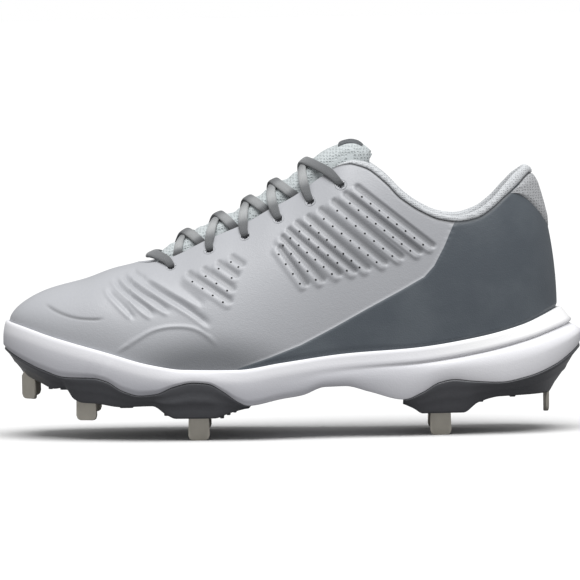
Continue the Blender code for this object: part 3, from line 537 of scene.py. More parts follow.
    def on_section(self, turn: Floats, angle: Floats) -> Floats:
        """The point of the upper's surface at an angle up the section that leaves the sole at turn.

        Args:
            turn: where round the outline, in section rows.
            angle: how far up the section, from 0 to a right angle.

        Returns:
            The point.
        """
        t = self.row(turn)
        foot = self.outline(turn)
        foot_z = self.at_outline("lip", turn)
        top_x, top_y, top_z, slope = self.ridge(turn)
        inward = 1 - np.clip(np.cos(angle), 0, 1) ** self.curves["side"](t)
        upward = np.clip(np.sin(angle), 0, 1) ** self.curves["roof"](t)
        x = foot[..., 0] + (top_x - foot[..., 0]) * inward
        y = foot[..., 1] + (top_y - foot[..., 1]) * inward
        z = foot_z + (top_z - foot_z - slope * (top_x - foot[..., 0])) * upward
        return np.stack([x, y, z + slope * (x - foot[..., 0])], axis=-1)

    def normal(self, turn: Floats, angle: Floats) -> Floats:
        """The outward normal of the upper's surface at an angle up the section.

        Args:
            turn: where round the outline, in section rows.
            angle: how far up the section.

        Returns:
            The vector, of length one.
        """
        step = 1e-3
        around = self.on_section(turn + step, angle) - self.on_section(turn - step, angle)
        rise = self.on_section(turn, angle + step) - self.on_section(turn, np.clip(angle - step, 0, None))
        return unit(np.cross(around, rise))

    def skin(self, turn: Floats, height: Floats, offset: float | Floats = 0.0) -> Floats:
        """A point of the upper's outside: height 0 at the sole's lip, 1 at the wall's edge.

        Args:
            turn: where round the outline, in section rows.
            height: share of the wall's height.
            offset: how far outwards from it.

        Returns:
            The point.
        """
        turn, height = np.broadcast_arrays(np.asarray(turn, float), np.asarray(height, float))
        angle = np.maximum(height, 1e-4) * self.edge(turn)
        return self.on_section(turn, angle) + self.normal(turn, angle) * np.asarray(offset, float)[..., None]

    def over(self, along: Floats, width: Floats) -> tuple[Floats, Floats]:
        """A point over the ridge and its normal; the lateral side's widths are negative.

        Args:
            along: share of the sole's length where the section's ridge is.
            width: distance from the ridge.

        Returns:
            The point and its outward normal.
        """
        along, width = np.broadcast_arrays(np.asarray(along, float), np.asarray(width, float))
        dense = np.linspace(0, self.half - 2, 600)
        t = np.interp(along, self.curves["ridge_x"](dense), dense)
        turn = np.where(width <= 0, t, 2 * self.half - t)
        angle = self.angle_at_width(turn, np.abs(width))
        return self.on_section(turn, angle), self.normal(turn, angle)

    def crown(self, along: Floats, width: Floats) -> Floats:
        """How far the tongue swells over the last in the throat."""
        return self.curves["crown"](along) * MM * bell(width, self.crown_width)

    def from_side(self, side: Side, x_mm: Floats, z_mm: Floats) -> tuple[Floats, Floats]:
        """The turn and angle of the skin that shows at a point of the side view.

        Args:
            side: which side of the shoe is looked at.
            x_mm: across the view, in millimetres.
            z_mm: up the view, in millimetres.

        Returns:
            The turn and the angle.
        """
        rounds, haste = 6, 0.8
        dense = np.linspace(1, self.half - 1, 500)
        turns = dense if side is Side.LATERAL else 2 * self.half - dense
        feet = self.outline(turns)[:, 0]
        x = np.asarray(x_mm, float) * MM
        z = np.asarray(z_mm, float) * MM
        turn = np.interp(x, feet, turns)
        angle = self.angle_at_height(turn, z)
        for _ in range(rounds):
            point = self.on_section(turn, angle)
            seen = side_view(point)
            x = x + (np.asarray(x_mm, float) - seen[..., 0]) * MM * haste
            z = z + (np.asarray(z_mm, float) - seen[..., 1]) * MM * haste
            drift = point[..., 0] - self.outline(turn)[..., 0]
            turn = np.interp(x - drift, feet, turns)
            angle = self.angle_at_height(turn, z)
        return turn, angle


def side_view(points: Floats) -> Floats:
    """Where points show in the side view, in millimetres; the inner side is seen mirrored.

    Args:
        points: places on the shoe.

    Returns:
        How far across and up each shows.
    """
    lift = math.radians(CAMERA_ELEVATION)
    depth = -np.abs(points[..., 1])
    size = (1 - depth / CAMERA_DISTANCE) / MM
    across = points[..., 0] * size
    up = (points[..., 2] * math.cos(lift) + depth * math.sin(lift)) * size + FLOOR_LINE
    return np.stack([across, up], axis=-1)


def line_distance(view: Floats, line: Floats) -> tuple[Floats, Floats]:
    """How far points of the side view lie from a line.

    Args:
        view: the points.
        line: the line's own points in order.

    Returns:
        The distance, and how far along the line the nearest place is, from 0 to 1.
    """
    best = np.full(view.shape[:-1], np.inf)
    along = np.zeros(view.shape[:-1])
    lengths = np.linalg.norm(np.diff(line, axis=0), axis=1)
    total = max(lengths.sum(), 1e-9)
    done = 0.0
    for start, end, length in zip(line[:-1], line[1:], lengths):
        step = end - start
        t = np.clip(((view - start) @ step) / max(length**2, 1e-9), 0, 1)
        away = np.linalg.norm(view - start - t[..., None] * step, axis=-1)
        nearer = away < best
        best = np.where(nearer, away, best)
        along = np.where(nearer, (done + t * length) / total, along)
        done += length
    return best, along


def rounded_line(points: Table, steps: int = 8) -> Floats:
    """A smooth line through given points of the side view.

    Args:
        points: the line's points in order.
        steps: how many pieces each stretch gets.

    Returns:
        The smooth line's points.
    """
    knots = np.array(points, float)
    if len(knots) < 3:
        return knots
    ends = np.vstack([2 * knots[0] - knots[1], knots, 2 * knots[-1] - knots[-2]])
    out = []
    for a, b, c, d in zip(ends[:-3], ends[1:-2], ends[2:-1], ends[3:]):
        t = np.linspace(0, 1, steps, endpoint=False)[:, None]
        square, cube = 2 * a - 5 * b + 4 * c - d, 3 * b - a - 3 * c + d
        out.append(0.5 * (2 * b + (c - a) * t + square * t**2 + cube * t**3))
    return np.vstack([*out, knots[-1:]])


@dataclass(frozen=True)
class Crease:
    """A line on the upper in the side view.

    Attributes:
        height: how high it stands in millimetres; below 0 it is pressed in.
        width: how far it reaches to each side, in millimetres.
        shade: how much painted shade it gets; below 0 it gets a painted highlight.
        soft: the share of its length over which each end grows in.
        points: its middle line.
    """

    height: float
    width: float
    shade: float
    soft: float
    points: Table

    def apply(self, view: Floats, relief: Floats, shade: Floats) -> None:
        """Adds the line to the relief and the shade of the points of the side view.

        Args:
            view: the points of the side view, in millimetres.
            relief: the height of the skin's relief, changed in place.
            shade: how dark the skin is, changed in place.
        """
        away, along = line_distance(view, rounded_line(self.points))
        ends = smooth_step(along, 0.0, self.soft) * smooth_step(1 - along, 0.0, self.soft)
        shape = bell(away, self.width) * ends
        relief += self.height * shape
        shade += (self.shade - shade) * shape * abs(self.shade)


CREASES = (
    # the seam across the toe's side
    Crease(-0.40, 0.75, 0.75, 0.15, (
        (-128.2, 72.3), (-123.0, 68.5), (-117.3, 65.8), (-111.6, 64.2), (-105.9, 63.6), (-101.2, 63.5),
        (-96.5, 64.0),
    )),
    # the low raised arch behind the toe, with a painted highlight along it
    Crease(0.70, 0.95, -0.75, 0.15, (
        (-92.9, 44.2), (-90.3, 46.7), (-81.5, 52.3), (-72.1, 57.3), (-62.3, 59.2), (-51.9, 58.5),
        (-44.1, 54.5), (-37.4, 47.7),
    )),
    # the long crest down from the throat with a painted highlight, and the fold beside it with painted shade
    Crease(0.7, 1.15, -0.6, 0.1, (
        (-85.8, 88.2), (-83.1, 84.6), (-78.7, 81.4), (-74.3, 78.5), (-70.0, 75.7), (-64.4, 72.0),
        (-58.8, 68.7), (-50.9, 63.8), (-46.1, 59.8), (-42.2, 55.3),
    )),
    Crease(-1.4, 1.8, 0.42, 0.16, (
        (-78.3, 84.9), (-73.1, 81.3), (-68.0, 77.6), (-62.0, 73.9), (-56.9, 70.7), (-51.3, 66.6),
        (-46.1, 62.6), (-41.4, 58.5),
    )),
    # flutes over the vamp, each a trough with painted shade in it
    Crease(-0.8, 1.3, 0.26, 0.2, (
        (-95.0, 79.6), (-93.8, 77.2), (-89.0, 72.4), (-84.6, 67.6), (-81.1, 62.7),
    )),
    Crease(-1.1, 1.4, 0.4, 0.16, (
        (-91.8, 85.1), (-88.6, 80.3), (-84.6, 76.3), (-79.5, 72.6), (-74.7, 69.0), (-70.4, 64.1),
    )),
    Crease(-1.1, 1.35, 0.42, 0.16, (
        (-87.4, 87.9), (-84.6, 83.4), (-80.3, 79.4), (-75.9, 76.1), (-70.4, 72.9), (-66.0, 69.6),
        (-62.0, 66.4),
    )),
    Crease(-0.7, 1.3, 0.22, 0.25, (
        (-82.3, 89.0), (-79.1, 86.1), (-74.7, 83.7),
    )),
    Crease(-0.8, 2.2, 0.25, 0.25, (
        (-60.4, 82.2), (-54.9, 78.2), (-49.3, 73.7), (-44.1, 69.3),
    )),
    # crests between the flutes, each with a painted highlight
    Crease(0.5, 1.0, -0.42, 0.15, (
        (-97.0, 80.5), (-95.8, 77.3), (-93.8, 74.1), (-88.6, 68.4), (-82.7, 62.8),
    )),
    Crease(0.6, 1.0, -0.52, 0.12, (
        (-94.2, 84.0), (-90.2, 78.8), (-85.0, 73.9), (-78.7, 67.5), (-72.3, 62.6),
    )),
    Crease(0.65, 1.05, -0.58, 0.12, (
        (-89.8, 85.9), (-86.6, 81.5), (-79.9, 75.8), (-71.9, 69.7), (-63.0, 64.4),
    )),
    Crease(0.65, 1.25, -0.52, 0.16, (
        (-76.3, 84.9), (-70.0, 82.0), (-66.0, 79.6), (-60.0, 75.9), (-54.1, 72.6), (-46.1, 68.1),
    )),
)


@dataclass
class Relief:
    """What stands up from the upper's smooth form, worked out for points of the side view (mm)."""

    rib_height: float = 0.65
    rib_core: float = 1.0
    channel_depth: float = 0.85
    channel_core: float = 0.75
    channel_slope: float = 1.5
    channel_shade: float = 0.48
    channel_shift: float = 2.9
    rib_slope: float = 2.0
    crest_shift: float = -1.0
    crest_width: float = 0.7
    crest_height: float = 0.2
    crest_highlight: float = 0.45
    front_weight: float = 0.72
    film_step: float = 0.7
    film_softness: float = 0.5
    film_foot: float = 20.0

    def ribs(self, view: Floats, rows: Rows, weight: float, relief: Floats, shade: Floats) -> None:
        """Adds a family of ribs, each with a round-ended channel above and behind it.

        Args:
            view: the points of the side view, in millimetres.
            rows: the middle lines of the ribs.
            weight: how strong the family is.
            relief: the height of the skin's relief, changed in place.
            shade: how dark the skin is, changed in place.
        """
        raised, pressed, crest = (np.zeros(view.shape[:-1]) for _ in range(3))
        for a, b, c, d in rows:
            line = np.array([(a, b), (c, d)])
            across = unit(np.array([b - d, c - a]))
            away, _ = line_distance(view, line)
            past = smooth_step(away, self.rib_core, self.rib_core + self.rib_slope)
            raised = np.maximum(raised, 1 - past)
            away, _ = line_distance(view, line + self.channel_shift * across)
            past = smooth_step(away, self.channel_core, self.channel_core + self.channel_slope)
            pressed = np.maximum(pressed, 1 - past)
            away, _ = line_distance(view, line + self.crest_shift * across)
            crest = np.maximum(crest, bell(away, self.crest_width))
        rib = self.rib_height * raised
        relief += weight * (rib - (self.channel_depth + rib) * pressed + self.crest_height * crest)
        # painted shade in each channel and a painted highlight along each crest
        shade += weight * (self.channel_shade * pressed - self.crest_highlight * crest * (1 - pressed))

    def film(self, view: Floats) -> Floats:
        """Signed distance from the counter's edge in millimetres, more than 0 on the dark film.

        Args:
            view: the points of the side view, in millimetres.

        Returns:
            The distances.
        """
        line = np.array(COUNTER_EDGE, float)
        away, _ = line_distance(view, line)
        corners = np.vstack([line, [(line[-1, 0], self.film_foot)], [(line[0, 0], self.film_foot)]])
        inside = np.zeros(view.shape[:-1], bool)
        for (x0, z0), (x1, z1) in zip(corners, np.roll(corners, -1, axis=0)):
            crosses = (z0 > view[..., 1]) != (z1 > view[..., 1])
            with np.errstate(divide="ignore", invalid="ignore"):
                at = (x1 - x0) * (view[..., 1] - z0) / (z1 - z0 if z1 != z0 else 1e-9) + x0
            inside ^= crosses & (view[..., 0] < at)
        return np.where(inside, away, -away)

    def all(self, points: Floats) -> tuple[Floats, Floats, Floats]:
        """Everything that marks the skin at points of it.

        Args:
            points: places on the skin.

        Returns:
            The relief in metres, the shade, and the signed distance from the counter's edge.
        """
        view = side_view(points)
        relief = np.zeros(view.shape[:-1])
        shade = np.zeros(view.shape[:-1])
        self.ribs(view, REAR_RIBS, 1.0, relief, shade)
        self.ribs(view, FRONT_RIBS, self.front_weight, relief, shade)
        for crease in CREASES:
            crease.apply(view, relief, shade)
        film = self.film(view)
        relief += self.film_step * smooth_step(film, -self.film_softness, self.film_softness)
        return relief * MM, shade, film


def shaped_grid(
    name: str,
    points: Floats,
    marks: dict[str, Floats] | None = None,
    uv: Floats | None = None,
    drop: Callable[[int, int], bool] | None = None,
) -> Piece:
    """A mesh made from a grid whose points are moved into place.

    Args:
        name: the piece's name.
        points: places by row and column; doubled places are merged.
        marks: numbers kept with each point, by name.
        uv: the pattern's place of each point.
        drop: whether a face, by its lowest row and column, is left out.

    Returns:
        The new object.
    """
    rows, columns = points.shape[:2]
    bm = bmesh.new()
    bmesh.ops.create_grid(bm, x_segments=columns - 1, y_segments=rows - 1, size=1.0)
    flat = np.array([vert.co[:2] for vert in bm.verts])
    column = np.rint((flat[:, 0] + 1) / 2 * (columns - 1)).astype(int)
    row = np.rint((flat[:, 1] + 1) / 2 * (rows - 1)).astype(int)
    layers = {key: bm.verts.layers.float.new(key) for key in (marks or {})}
    for vert, spot in zip(bm.verts, points[row, column]):
        vert.co = spot
    for key, layer in layers.items():
        for vert, value in zip(bm.verts, marks[key][row, column]):
            vert[layer] = value
    if uv is not None:
        layer = bm.loops.layers.uv.new("pattern")
        flat_uv = uv[row, column]
        for face in bm.faces:
            for loop in face.loops:
                loop[layer].uv = flat_uv[loop.vert.index]
    if drop is not None:
        out = []
        for face in bm.faces:
            corners = [vert.index for vert in face.verts]
            if drop(row[corners].min(), column[corners].min()):
                out.append(face)
        bmesh.ops.delete(bm, geom=out, context="FACES")
    return finished(name, bm)


def linked(name: str, bm: bmesh.types.BMesh) -> Piece:
    """Makes a smooth-shaded object of a mesh and links it.

    Args:
        name: the piece's name.
        bm: the mesh, which is freed.

    Returns:
        The new object.
    """
    mesh = bpy.data.meshes.new(name)
    bm.to_mesh(mesh)
    bm.free()
    mesh.shade_smooth()
    piece = bpy.data.objects.new(name, mesh)
    bpy.context.scene.collection.objects.link(piece)
    return piece


def finished(name: str, bm: bmesh.types.BMesh, merge: float = 2e-6) -> Piece:
    """Merges doubled points, turns the faces outwards and links the mesh as an object.

    Args:
        name: the piece's name.
        bm: the mesh, which is freed.
        merge: how near two points merge.

    Returns:
        The new object.
    """
    bmesh.ops.remove_doubles(bm, verts=bm.verts, dist=merge)
    bmesh.ops.dissolve_degenerate(bm, edges=bm.edges, dist=1e-7)
    loose = [v for v in bm.verts if not v.link_faces]
    bmesh.ops.delete(bm, geom=loose, context="VERTS")
    bmesh.ops.recalc_face_normals(bm, faces=bm.faces)
    return linked(name, bm)


def soften(bm: bmesh.types.BMesh, edges: list[bmesh.types.BMEdge], size: float) -> None:
    """Bevels edges of a mesh."""
    bmesh.ops.bevel(bm, geom=edges, offset=size, segments=2, profile=0.5, affect="EDGES", material=-1)


def joined(name: str, pieces: Sequence[Piece]) -> Piece:
    """One object from the meshes of several, which are removed.

    Args:
        name: the new piece's name.
        pieces: the objects, which are removed.

    Returns:
        The new object.
    """
    bm = bmesh.new()
    for piece in pieces:
        bm.from_mesh(piece.data)
    for piece in pieces:
        bpy.data.objects.remove(piece, do_unlink=True)
    return linked(name, bm)


def place(piece: Piece, finish: Material, slot: str, *nodes: str) -> None:
    """Dresses a piece, lets it ride on the shoe and stand for its solids.

    Args:
        piece: the object.
        finish: its material.
        slot: a material slot's name; not used.
        nodes: the solids that it stands for.
    """
    piece.data.materials.clear()
    piece.data.materials.append(finish)
    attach(piece, "root")
    if nodes:
        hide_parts(*nodes)
    LOG.info("%s: %d faces", piece.name, len(piece.data.polygons))


class NodeSheet:
    """Short ways to add and link nodes in a material or a group."""

    def __init__(self, tree: Tree) -> None:
        """Takes the tree that nodes are added to."""
        self.tree = tree

    def add(self, kind: str, links: dict[str | int, object] | None = None, **settings: object) -> Node:
        """Adds a node, sets its properties, and links or sets its inputs.

        Args:
            kind: the node's type name after ShaderNode.
            links: inputs by name or number, each an output socket or a value.
            settings: properties of the node.

        Returns:
            The new node.
        """
        node = self.tree.nodes.new("ShaderNode" + kind)
        for key, value in settings.items():
            setattr(node, key, value)
        for key, value in (links or {}).items():
            self.feed(node, key, value)
        return node

    def feed(self, node: Node, key: str | int, value: object) -> None:
        """Links an output socket to a node's input, or sets the input to a value.

        Args:
            node: the node.
            key: the input's name or number.
            value: an output socket or a value.
        """
        if isinstance(value, Link):
            self.tree.links.new(value, node.inputs[key])
        else:
            node.inputs[key].default_value = value

    def math(self, operation: str, first: object, second: object = 0.0) -> Link:
        """The result of a sum on sockets or numbers."""
        return self.add("Math", {0: first, 1: second}, operation=operation).outputs[0]

    def mix(self, share: object, first: object, second: object) -> Link:
        """A colour between two, by a share."""
        return self.add("Mix", {0: share, 6: first, 7: second}, data_type="RGBA").outputs[2]

    def above_zero(self, value: object, factor: float = 1.0) -> Link:
        """A value times a factor, or 0 where that is less than 0."""
        return self.math("MAXIMUM", self.math("MULTIPLY", value, factor), 0.0)

    def mark(self, name: str) -> Link:
        """A number that the piece keeps with each of its points."""
        return self.add("Attribute", attribute_name=name).outputs["Fac"]

    def ramp(self, value: object, low: float, high: float, first: float = 0.0, last: float = 1.0) -> Link:
        """A soft step of a value from one number to another."""
        links = {"Value": value, "From Min": low, "From Max": high, "To Min": first, "To Max": last}
        return self.add("MapRange", links, interpolation_type="SMOOTHSTEP").outputs[0]


class Groups:
    """Shared surface effects, each a node group that is built once."""

    def __init__(self) -> None:
        """Builds all the groups."""
        self.grain = self.build("grain", self.grain_height)
        self.weave = self.build("weave", self.weave_height)
        self.mesh = self.build("spacer_mesh", self.mesh_height)
        self.clouds = self.build("clouds", self.clouds_height)

    @staticmethod
    def build(name: str, pattern: Callable[[NodeSheet, Link, Link], tuple[Link, Link]]) -> Tree:
        """Makes a group that takes a Vector and a Size and gives a Height and a Mask.

        Args:
            name: the group's name.
            pattern: adds the pattern's nodes and gives its height and mask.

        Returns:
            The group's tree.
        """
        tree = bpy.data.node_groups.new(name, "ShaderNodeTree")
        tree.interface.new_socket("Vector", in_out="INPUT", socket_type="NodeSocketVector")
        tree.interface.new_socket("Size", in_out="INPUT", socket_type="NodeSocketFloat")
        for output in ("Height", "Mask"):
            tree.interface.new_socket(output, in_out="OUTPUT", socket_type="NodeSocketFloat")
        source = tree.nodes.new("NodeGroupInput")
        result = tree.nodes.new("NodeGroupOutput")
        height, mask = pattern(NodeSheet(tree), source.outputs["Vector"], source.outputs["Size"])
        tree.links.new(height, result.inputs["Height"])
        tree.links.new(mask, result.inputs["Mask"])
        return tree

    @staticmethod
    def grain_height(sheet: NodeSheet, where: Link, size: Link) -> tuple[Link, Link]:
        """Fine pebbled grain with a softer unevenness under it.

        Args:
            sheet: the group's nodes.
            where: the place on the piece.
            size: how fine the pattern is.

        Returns:
            The pattern's height and its mask.
        """
        cells = sheet.add("TexVoronoi", {"Vector": where, "Scale": size})
        scale = sheet.math("MULTIPLY", size, 0.4)
        noise = sheet.add("TexNoise", {"Vector": where, "Scale": scale, "Detail": 3.0})
        height = sheet.math("ADD", cells.outputs["Distance"], noise.outputs["Fac"])
        return height, noise.outputs["Fac"]

    @staticmethod
    def weave_height(sheet: NodeSheet, where: Link, size: Link) -> tuple[Link, Link]:
        """Crossed threads on the pattern's own coordinates, one thread for each unit.

        Args:
            sheet: the group's nodes.
            where: the place on the piece.
            size: how fine the pattern is.

        Returns:
            The pattern's height and its mask.
        """
        parts = sheet.add("SeparateXYZ", {"Vector": where})
        turned = []
        for sign in (1.0, -1.0):
            lean = sheet.math("ADD", parts.outputs["X"], sheet.math("MULTIPLY", parts.outputs["Y"], sign))
            angle = sheet.math("MULTIPLY", sheet.math("MULTIPLY", lean, size), math.pi)
            turned.append(sheet.math("ABSOLUTE", sheet.math("SINE", angle)))
        return sheet.math("MAXIMUM", *turned), sheet.math("MINIMUM", *turned)

    @staticmethod
    def mesh_height(sheet: NodeSheet, where: Link, size: Link) -> tuple[Link, Link]:
        """Small open cells in a knitted face.

        Args:
            sheet: the group's nodes.
            where: the place on the piece.
            size: how fine the pattern is.

        Returns:
            The pattern's height and its mask.
        """
        links = {"Vector": where, "Scale": size, "Randomness": 0.35}
        cells = sheet.add("TexVoronoi", links, feature="DISTANCE_TO_EDGE")
        hole = sheet.ramp(cells.outputs["Distance"], 0.10, 0.32)
        return sheet.math("SUBTRACT", 1.0, hole), hole

    @staticmethod
    def clouds_height(sheet: NodeSheet, where: Link, size: Link) -> tuple[Link, Link]:
        """Broad soft unevenness of colour and gloss."""
        noise = sheet.add("TexNoise", {"Vector": where, "Scale": size, "Detail": 4.0, "Roughness": 0.6})
        return noise.outputs["Fac"], sheet.ramp(noise.outputs["Fac"], 0.35, 0.65)


@dataclass(frozen=True)
class Finish:
    """One material: its colours, gloss and the pattern of its face."""

    name: str
    colour: Colour
    second: Colour
    roughness: float
    face: Face
    size: float
    relief: float
    metallic: float = 0.0
    coat: float = 0.0
    sheen: float = 0.0
    on_pattern: bool = False
    coat_roughness: float = 0.2
    sheen_roughness: float = 0.5
    cloud_size: float = 28.0
    gloss_spread: float = 0.05
    mask_share: float = 0.7
    cloud_share: float = 0.15

    def build(self, groups: Groups) -> Material:
        """Makes the material.

        Args:
            groups: the shared effects.

        Returns:
            The new material.
        """
        made = bpy.data.materials.new(self.name)
        made.use_nodes = True
        sheet = NodeSheet(made.node_tree)
        shader = made.node_tree.nodes["Principled BSDF"]
        where = sheet.add("TexCoord").outputs["Object"]
        pattern = sheet.add("UVMap", uv_map="pattern").outputs["UV"] if self.on_pattern else where
        tree = {Face.WEAVE: groups.weave, Face.MESH: groups.mesh}.get(self.face, groups.grain)
        face = self.group(sheet, tree, pattern, self.size)
        clouds = self.group(sheet, groups.clouds, where, self.cloud_size)
        gloss = (self.roughness - self.gloss_spread, self.roughness + self.gloss_spread)
        bump = {"Height": face.outputs["Height"], "Strength": 1.0, "Distance": self.relief * MM}
        inputs = {
            "Base Color": self.colouring(sheet, face, clouds),
            "Roughness": sheet.ramp(clouds.outputs["Mask"], 0.0, 1.0, *gloss),
            "Normal": sheet.add("Bump", bump).outputs["Normal"],
            "Metallic": self.metallic,
            "Coat Weight": self.coat,
            "Coat Roughness": self.coat_roughness,
            "Sheen Weight": self.sheen,
            "Sheen Roughness": self.sheen_roughness,
        }
        for key, value in inputs.items():
            sheet.feed(shader, key, value)
        return made

    @staticmethod
    def group(sheet: NodeSheet, tree: Tree, vector: object, size: float) -> Node:
        """Places a shared effect in the material.

        Args:
            sheet: the material's nodes.
            tree: the effect's group.
            vector: the place on the piece.
            size: how fine the pattern is.

        Returns:
            The group's node.
        """
        node = sheet.tree.nodes.new("ShaderNodeGroup")
        node.node_tree = tree
        sheet.tree.links.new(vector, node.inputs["Vector"])
        node.inputs["Size"].default_value = size
        return node

    def colouring(self, sheet: NodeSheet, face: Node, clouds: Node) -> Link:
        """The colour, between the finish's two by the pattern's mask.

        Args:
            sheet: the material's nodes.
            face: the pattern's group.
            clouds: the clouds' group.

        Returns:
            The colour's socket.
        """
        share = sheet.math("MULTIPLY", face.outputs["Mask"], self.mask_share)
        share = sheet.math("ADD", share, sheet.math("MULTIPLY", clouds.outputs["Mask"], self.cloud_share))
        return sheet.mix(share, (*self.colour, 1.0), (*self.second, 1.0))


@dataclass(frozen=True)
class ShadedFinish(Finish):
    """A finish with painted shade where the piece's shade mark is above 0 and painted highlight where it is
    below 0.
    """

    # the colours of the painted highlight and the painted shade
    light: Colour = (0.50, 0.515, 0.52)
    shade_colour: Colour = (0.035, 0.036, 0.040)

    def colouring(self, sheet: NodeSheet, face: Node, clouds: Node) -> Link:
        """The plain colours, then the painted shade and the painted highlight.

        Args:
            sheet: the material's nodes.
            face: the pattern's group.
            clouds: the clouds' group.

        Returns:
            The colour's socket.
        """
        base = super().colouring(sheet, face, clouds)
        shade = sheet.mark("shade")
        base = sheet.mix(sheet.above_zero(shade), base, (*self.shade_colour, 1.0))
        return sheet.mix(sheet.above_zero(shade, -1.0), base, (*self.light, 1.0))


@dataclass(frozen=True)
class ShellFinish(Finish):
    """The upper's skin: pale synthetic with painted shade in its grooves and painted highlights on its
    crests, and dark film over the heel.
    """

    film: Colour = (0.090, 0.106, 0.124)
    film_light: Colour = (0.112, 0.130, 0.148)
    # the colour of the painted shade low on the side, where the skin turns under
    low: Colour = (0.20, 0.208, 0.222)
    # how dark the painted shade in the grooves is and how bright the painted highlight on the crests, as
    # factors of the skin's colour
    groove_factor: float = 0.22
    crest_factor: float = 1.75
    crest_share: float = 0.7
    film_groove_factor: float = 0.4
    film_softness: float = 0.15

    def colouring(self, sheet: NodeSheet, face: Node, clouds: Node) -> Link:
        """Pale skin with painted shade low where it turns under, then painted shade in its grooves, painted
        highlights on its crests, and the film over it.

        Args:
            sheet: the material's nodes.
            face: the pattern's group.
            clouds: the clouds' group.

        Returns:
            The colour's socket.
        """
        shade = sheet.mark("shade")
        # painted shade where the shade mark is above 0, painted highlight where it is below 0
        groove, crest = sheet.above_zero(shade), sheet.above_zero(shade, -self.crest_share)
        base = super().colouring(sheet, face, clouds)
        # painted shade low on the side, where the skin turns under beside the ball
        base = sheet.mix(sheet.mark("underside_shade"), base, (*self.low, 1.0))
        base = sheet.mix(groove, base, (*(self.groove_factor * np.array(self.colour)), 1.0))
        base = sheet.mix(crest, base, (*(self.crest_factor * np.array(self.colour)), 1.0))
        dark = sheet.mix(clouds.outputs["Mask"], (*self.film, 1.0), (*self.film_light, 1.0))
        # painted shade in the grooves over the film too
        dark = sheet.mix(groove, dark, (*(self.film_groove_factor * np.array(self.film)), 1.0))
        film = sheet.ramp(sheet.mark("film"), -self.film_softness, self.film_softness)
        return sheet.mix(film, base, dark)


SKIN = ShellFinish(
    "moulded_synthetic", (0.47, 0.48, 0.505), (0.43, 0.44, 0.465), 0.46, Face.GRAIN, 1500.0, 0.05,
)
LINING = Finish(
    "collar_lining", (0.68, 0.70, 0.72), (0.50, 0.52, 0.54), 0.85, Face.MESH, 900.0, 0.25, sheen=0.2,
)
KNIT = Finish("heel_knit", (0.46, 0.47, 0.485), (0.32, 0.33, 0.34), 0.85, Face.MESH, 700.0, 0.3, sheen=0.25)
SPACER = Finish(
    "tongue_spacer_mesh", (0.60, 0.645, 0.655), (0.42, 0.465, 0.475), 0.88, Face.MESH, 620.0, 0.35,
    sheen=0.25,
)
# the lace, with painted shade and painted highlights along its runs
CORD = ShadedFinish(
    "lace_weave", (0.23, 0.24, 0.25), (0.11, 0.115, 0.12), 0.8, Face.WEAVE, 1.0, 0.35,
    sheen=0.3, on_pattern=True,
)
BINDING = Finish("tongue_binding", (0.13, 0.14, 0.15), (0.09, 0.095, 0.1), 0.8, Face.MESH, 900.0, 0.2)
# the foam, with painted shade low on the cup and a painted highlight on the heel's upper band
FOAM = ShadedFinish(
    "white_foam", (0.93, 0.93, 0.96), (0.88, 0.88, 0.92), 0.42, Face.FOAM, 1300.0, 0.03,
    light=(1.0, 1.0, 1.0), shade_colour=(0.38, 0.385, 0.425),
)
PLATE = Finish("dark_plate", (0.108, 0.110, 0.121), (0.084, 0.087, 0.095), 0.38, Face.MOULD, 900.0, 0.04)
STEEL = Finish(
    "spike_steel", (0.80, 0.76, 0.66), (0.60, 0.57, 0.50), 0.36, Face.METAL, 500.0, 0.03, metallic=0.7,
)
SOCK = Finish(
    "sockliner_cloth", (0.22, 0.225, 0.235), (0.15, 0.155, 0.165), 0.9, Face.MESH, 800.0, 0.25, sheen=0.3,
)
# near-black discs of painted shade where the punched holes show
HOLE_SHADE = Finish("pinhole_shade", (0.02, 0.02, 0.022), (0.012, 0.012, 0.014), 0.9, Face.GRAIN, 900.0, 0.02)
RING = Finish("eyelet_edge", (0.44, 0.45, 0.475), (0.38, 0.39, 0.41), 0.5, Face.GRAIN, 1500.0, 0.04)


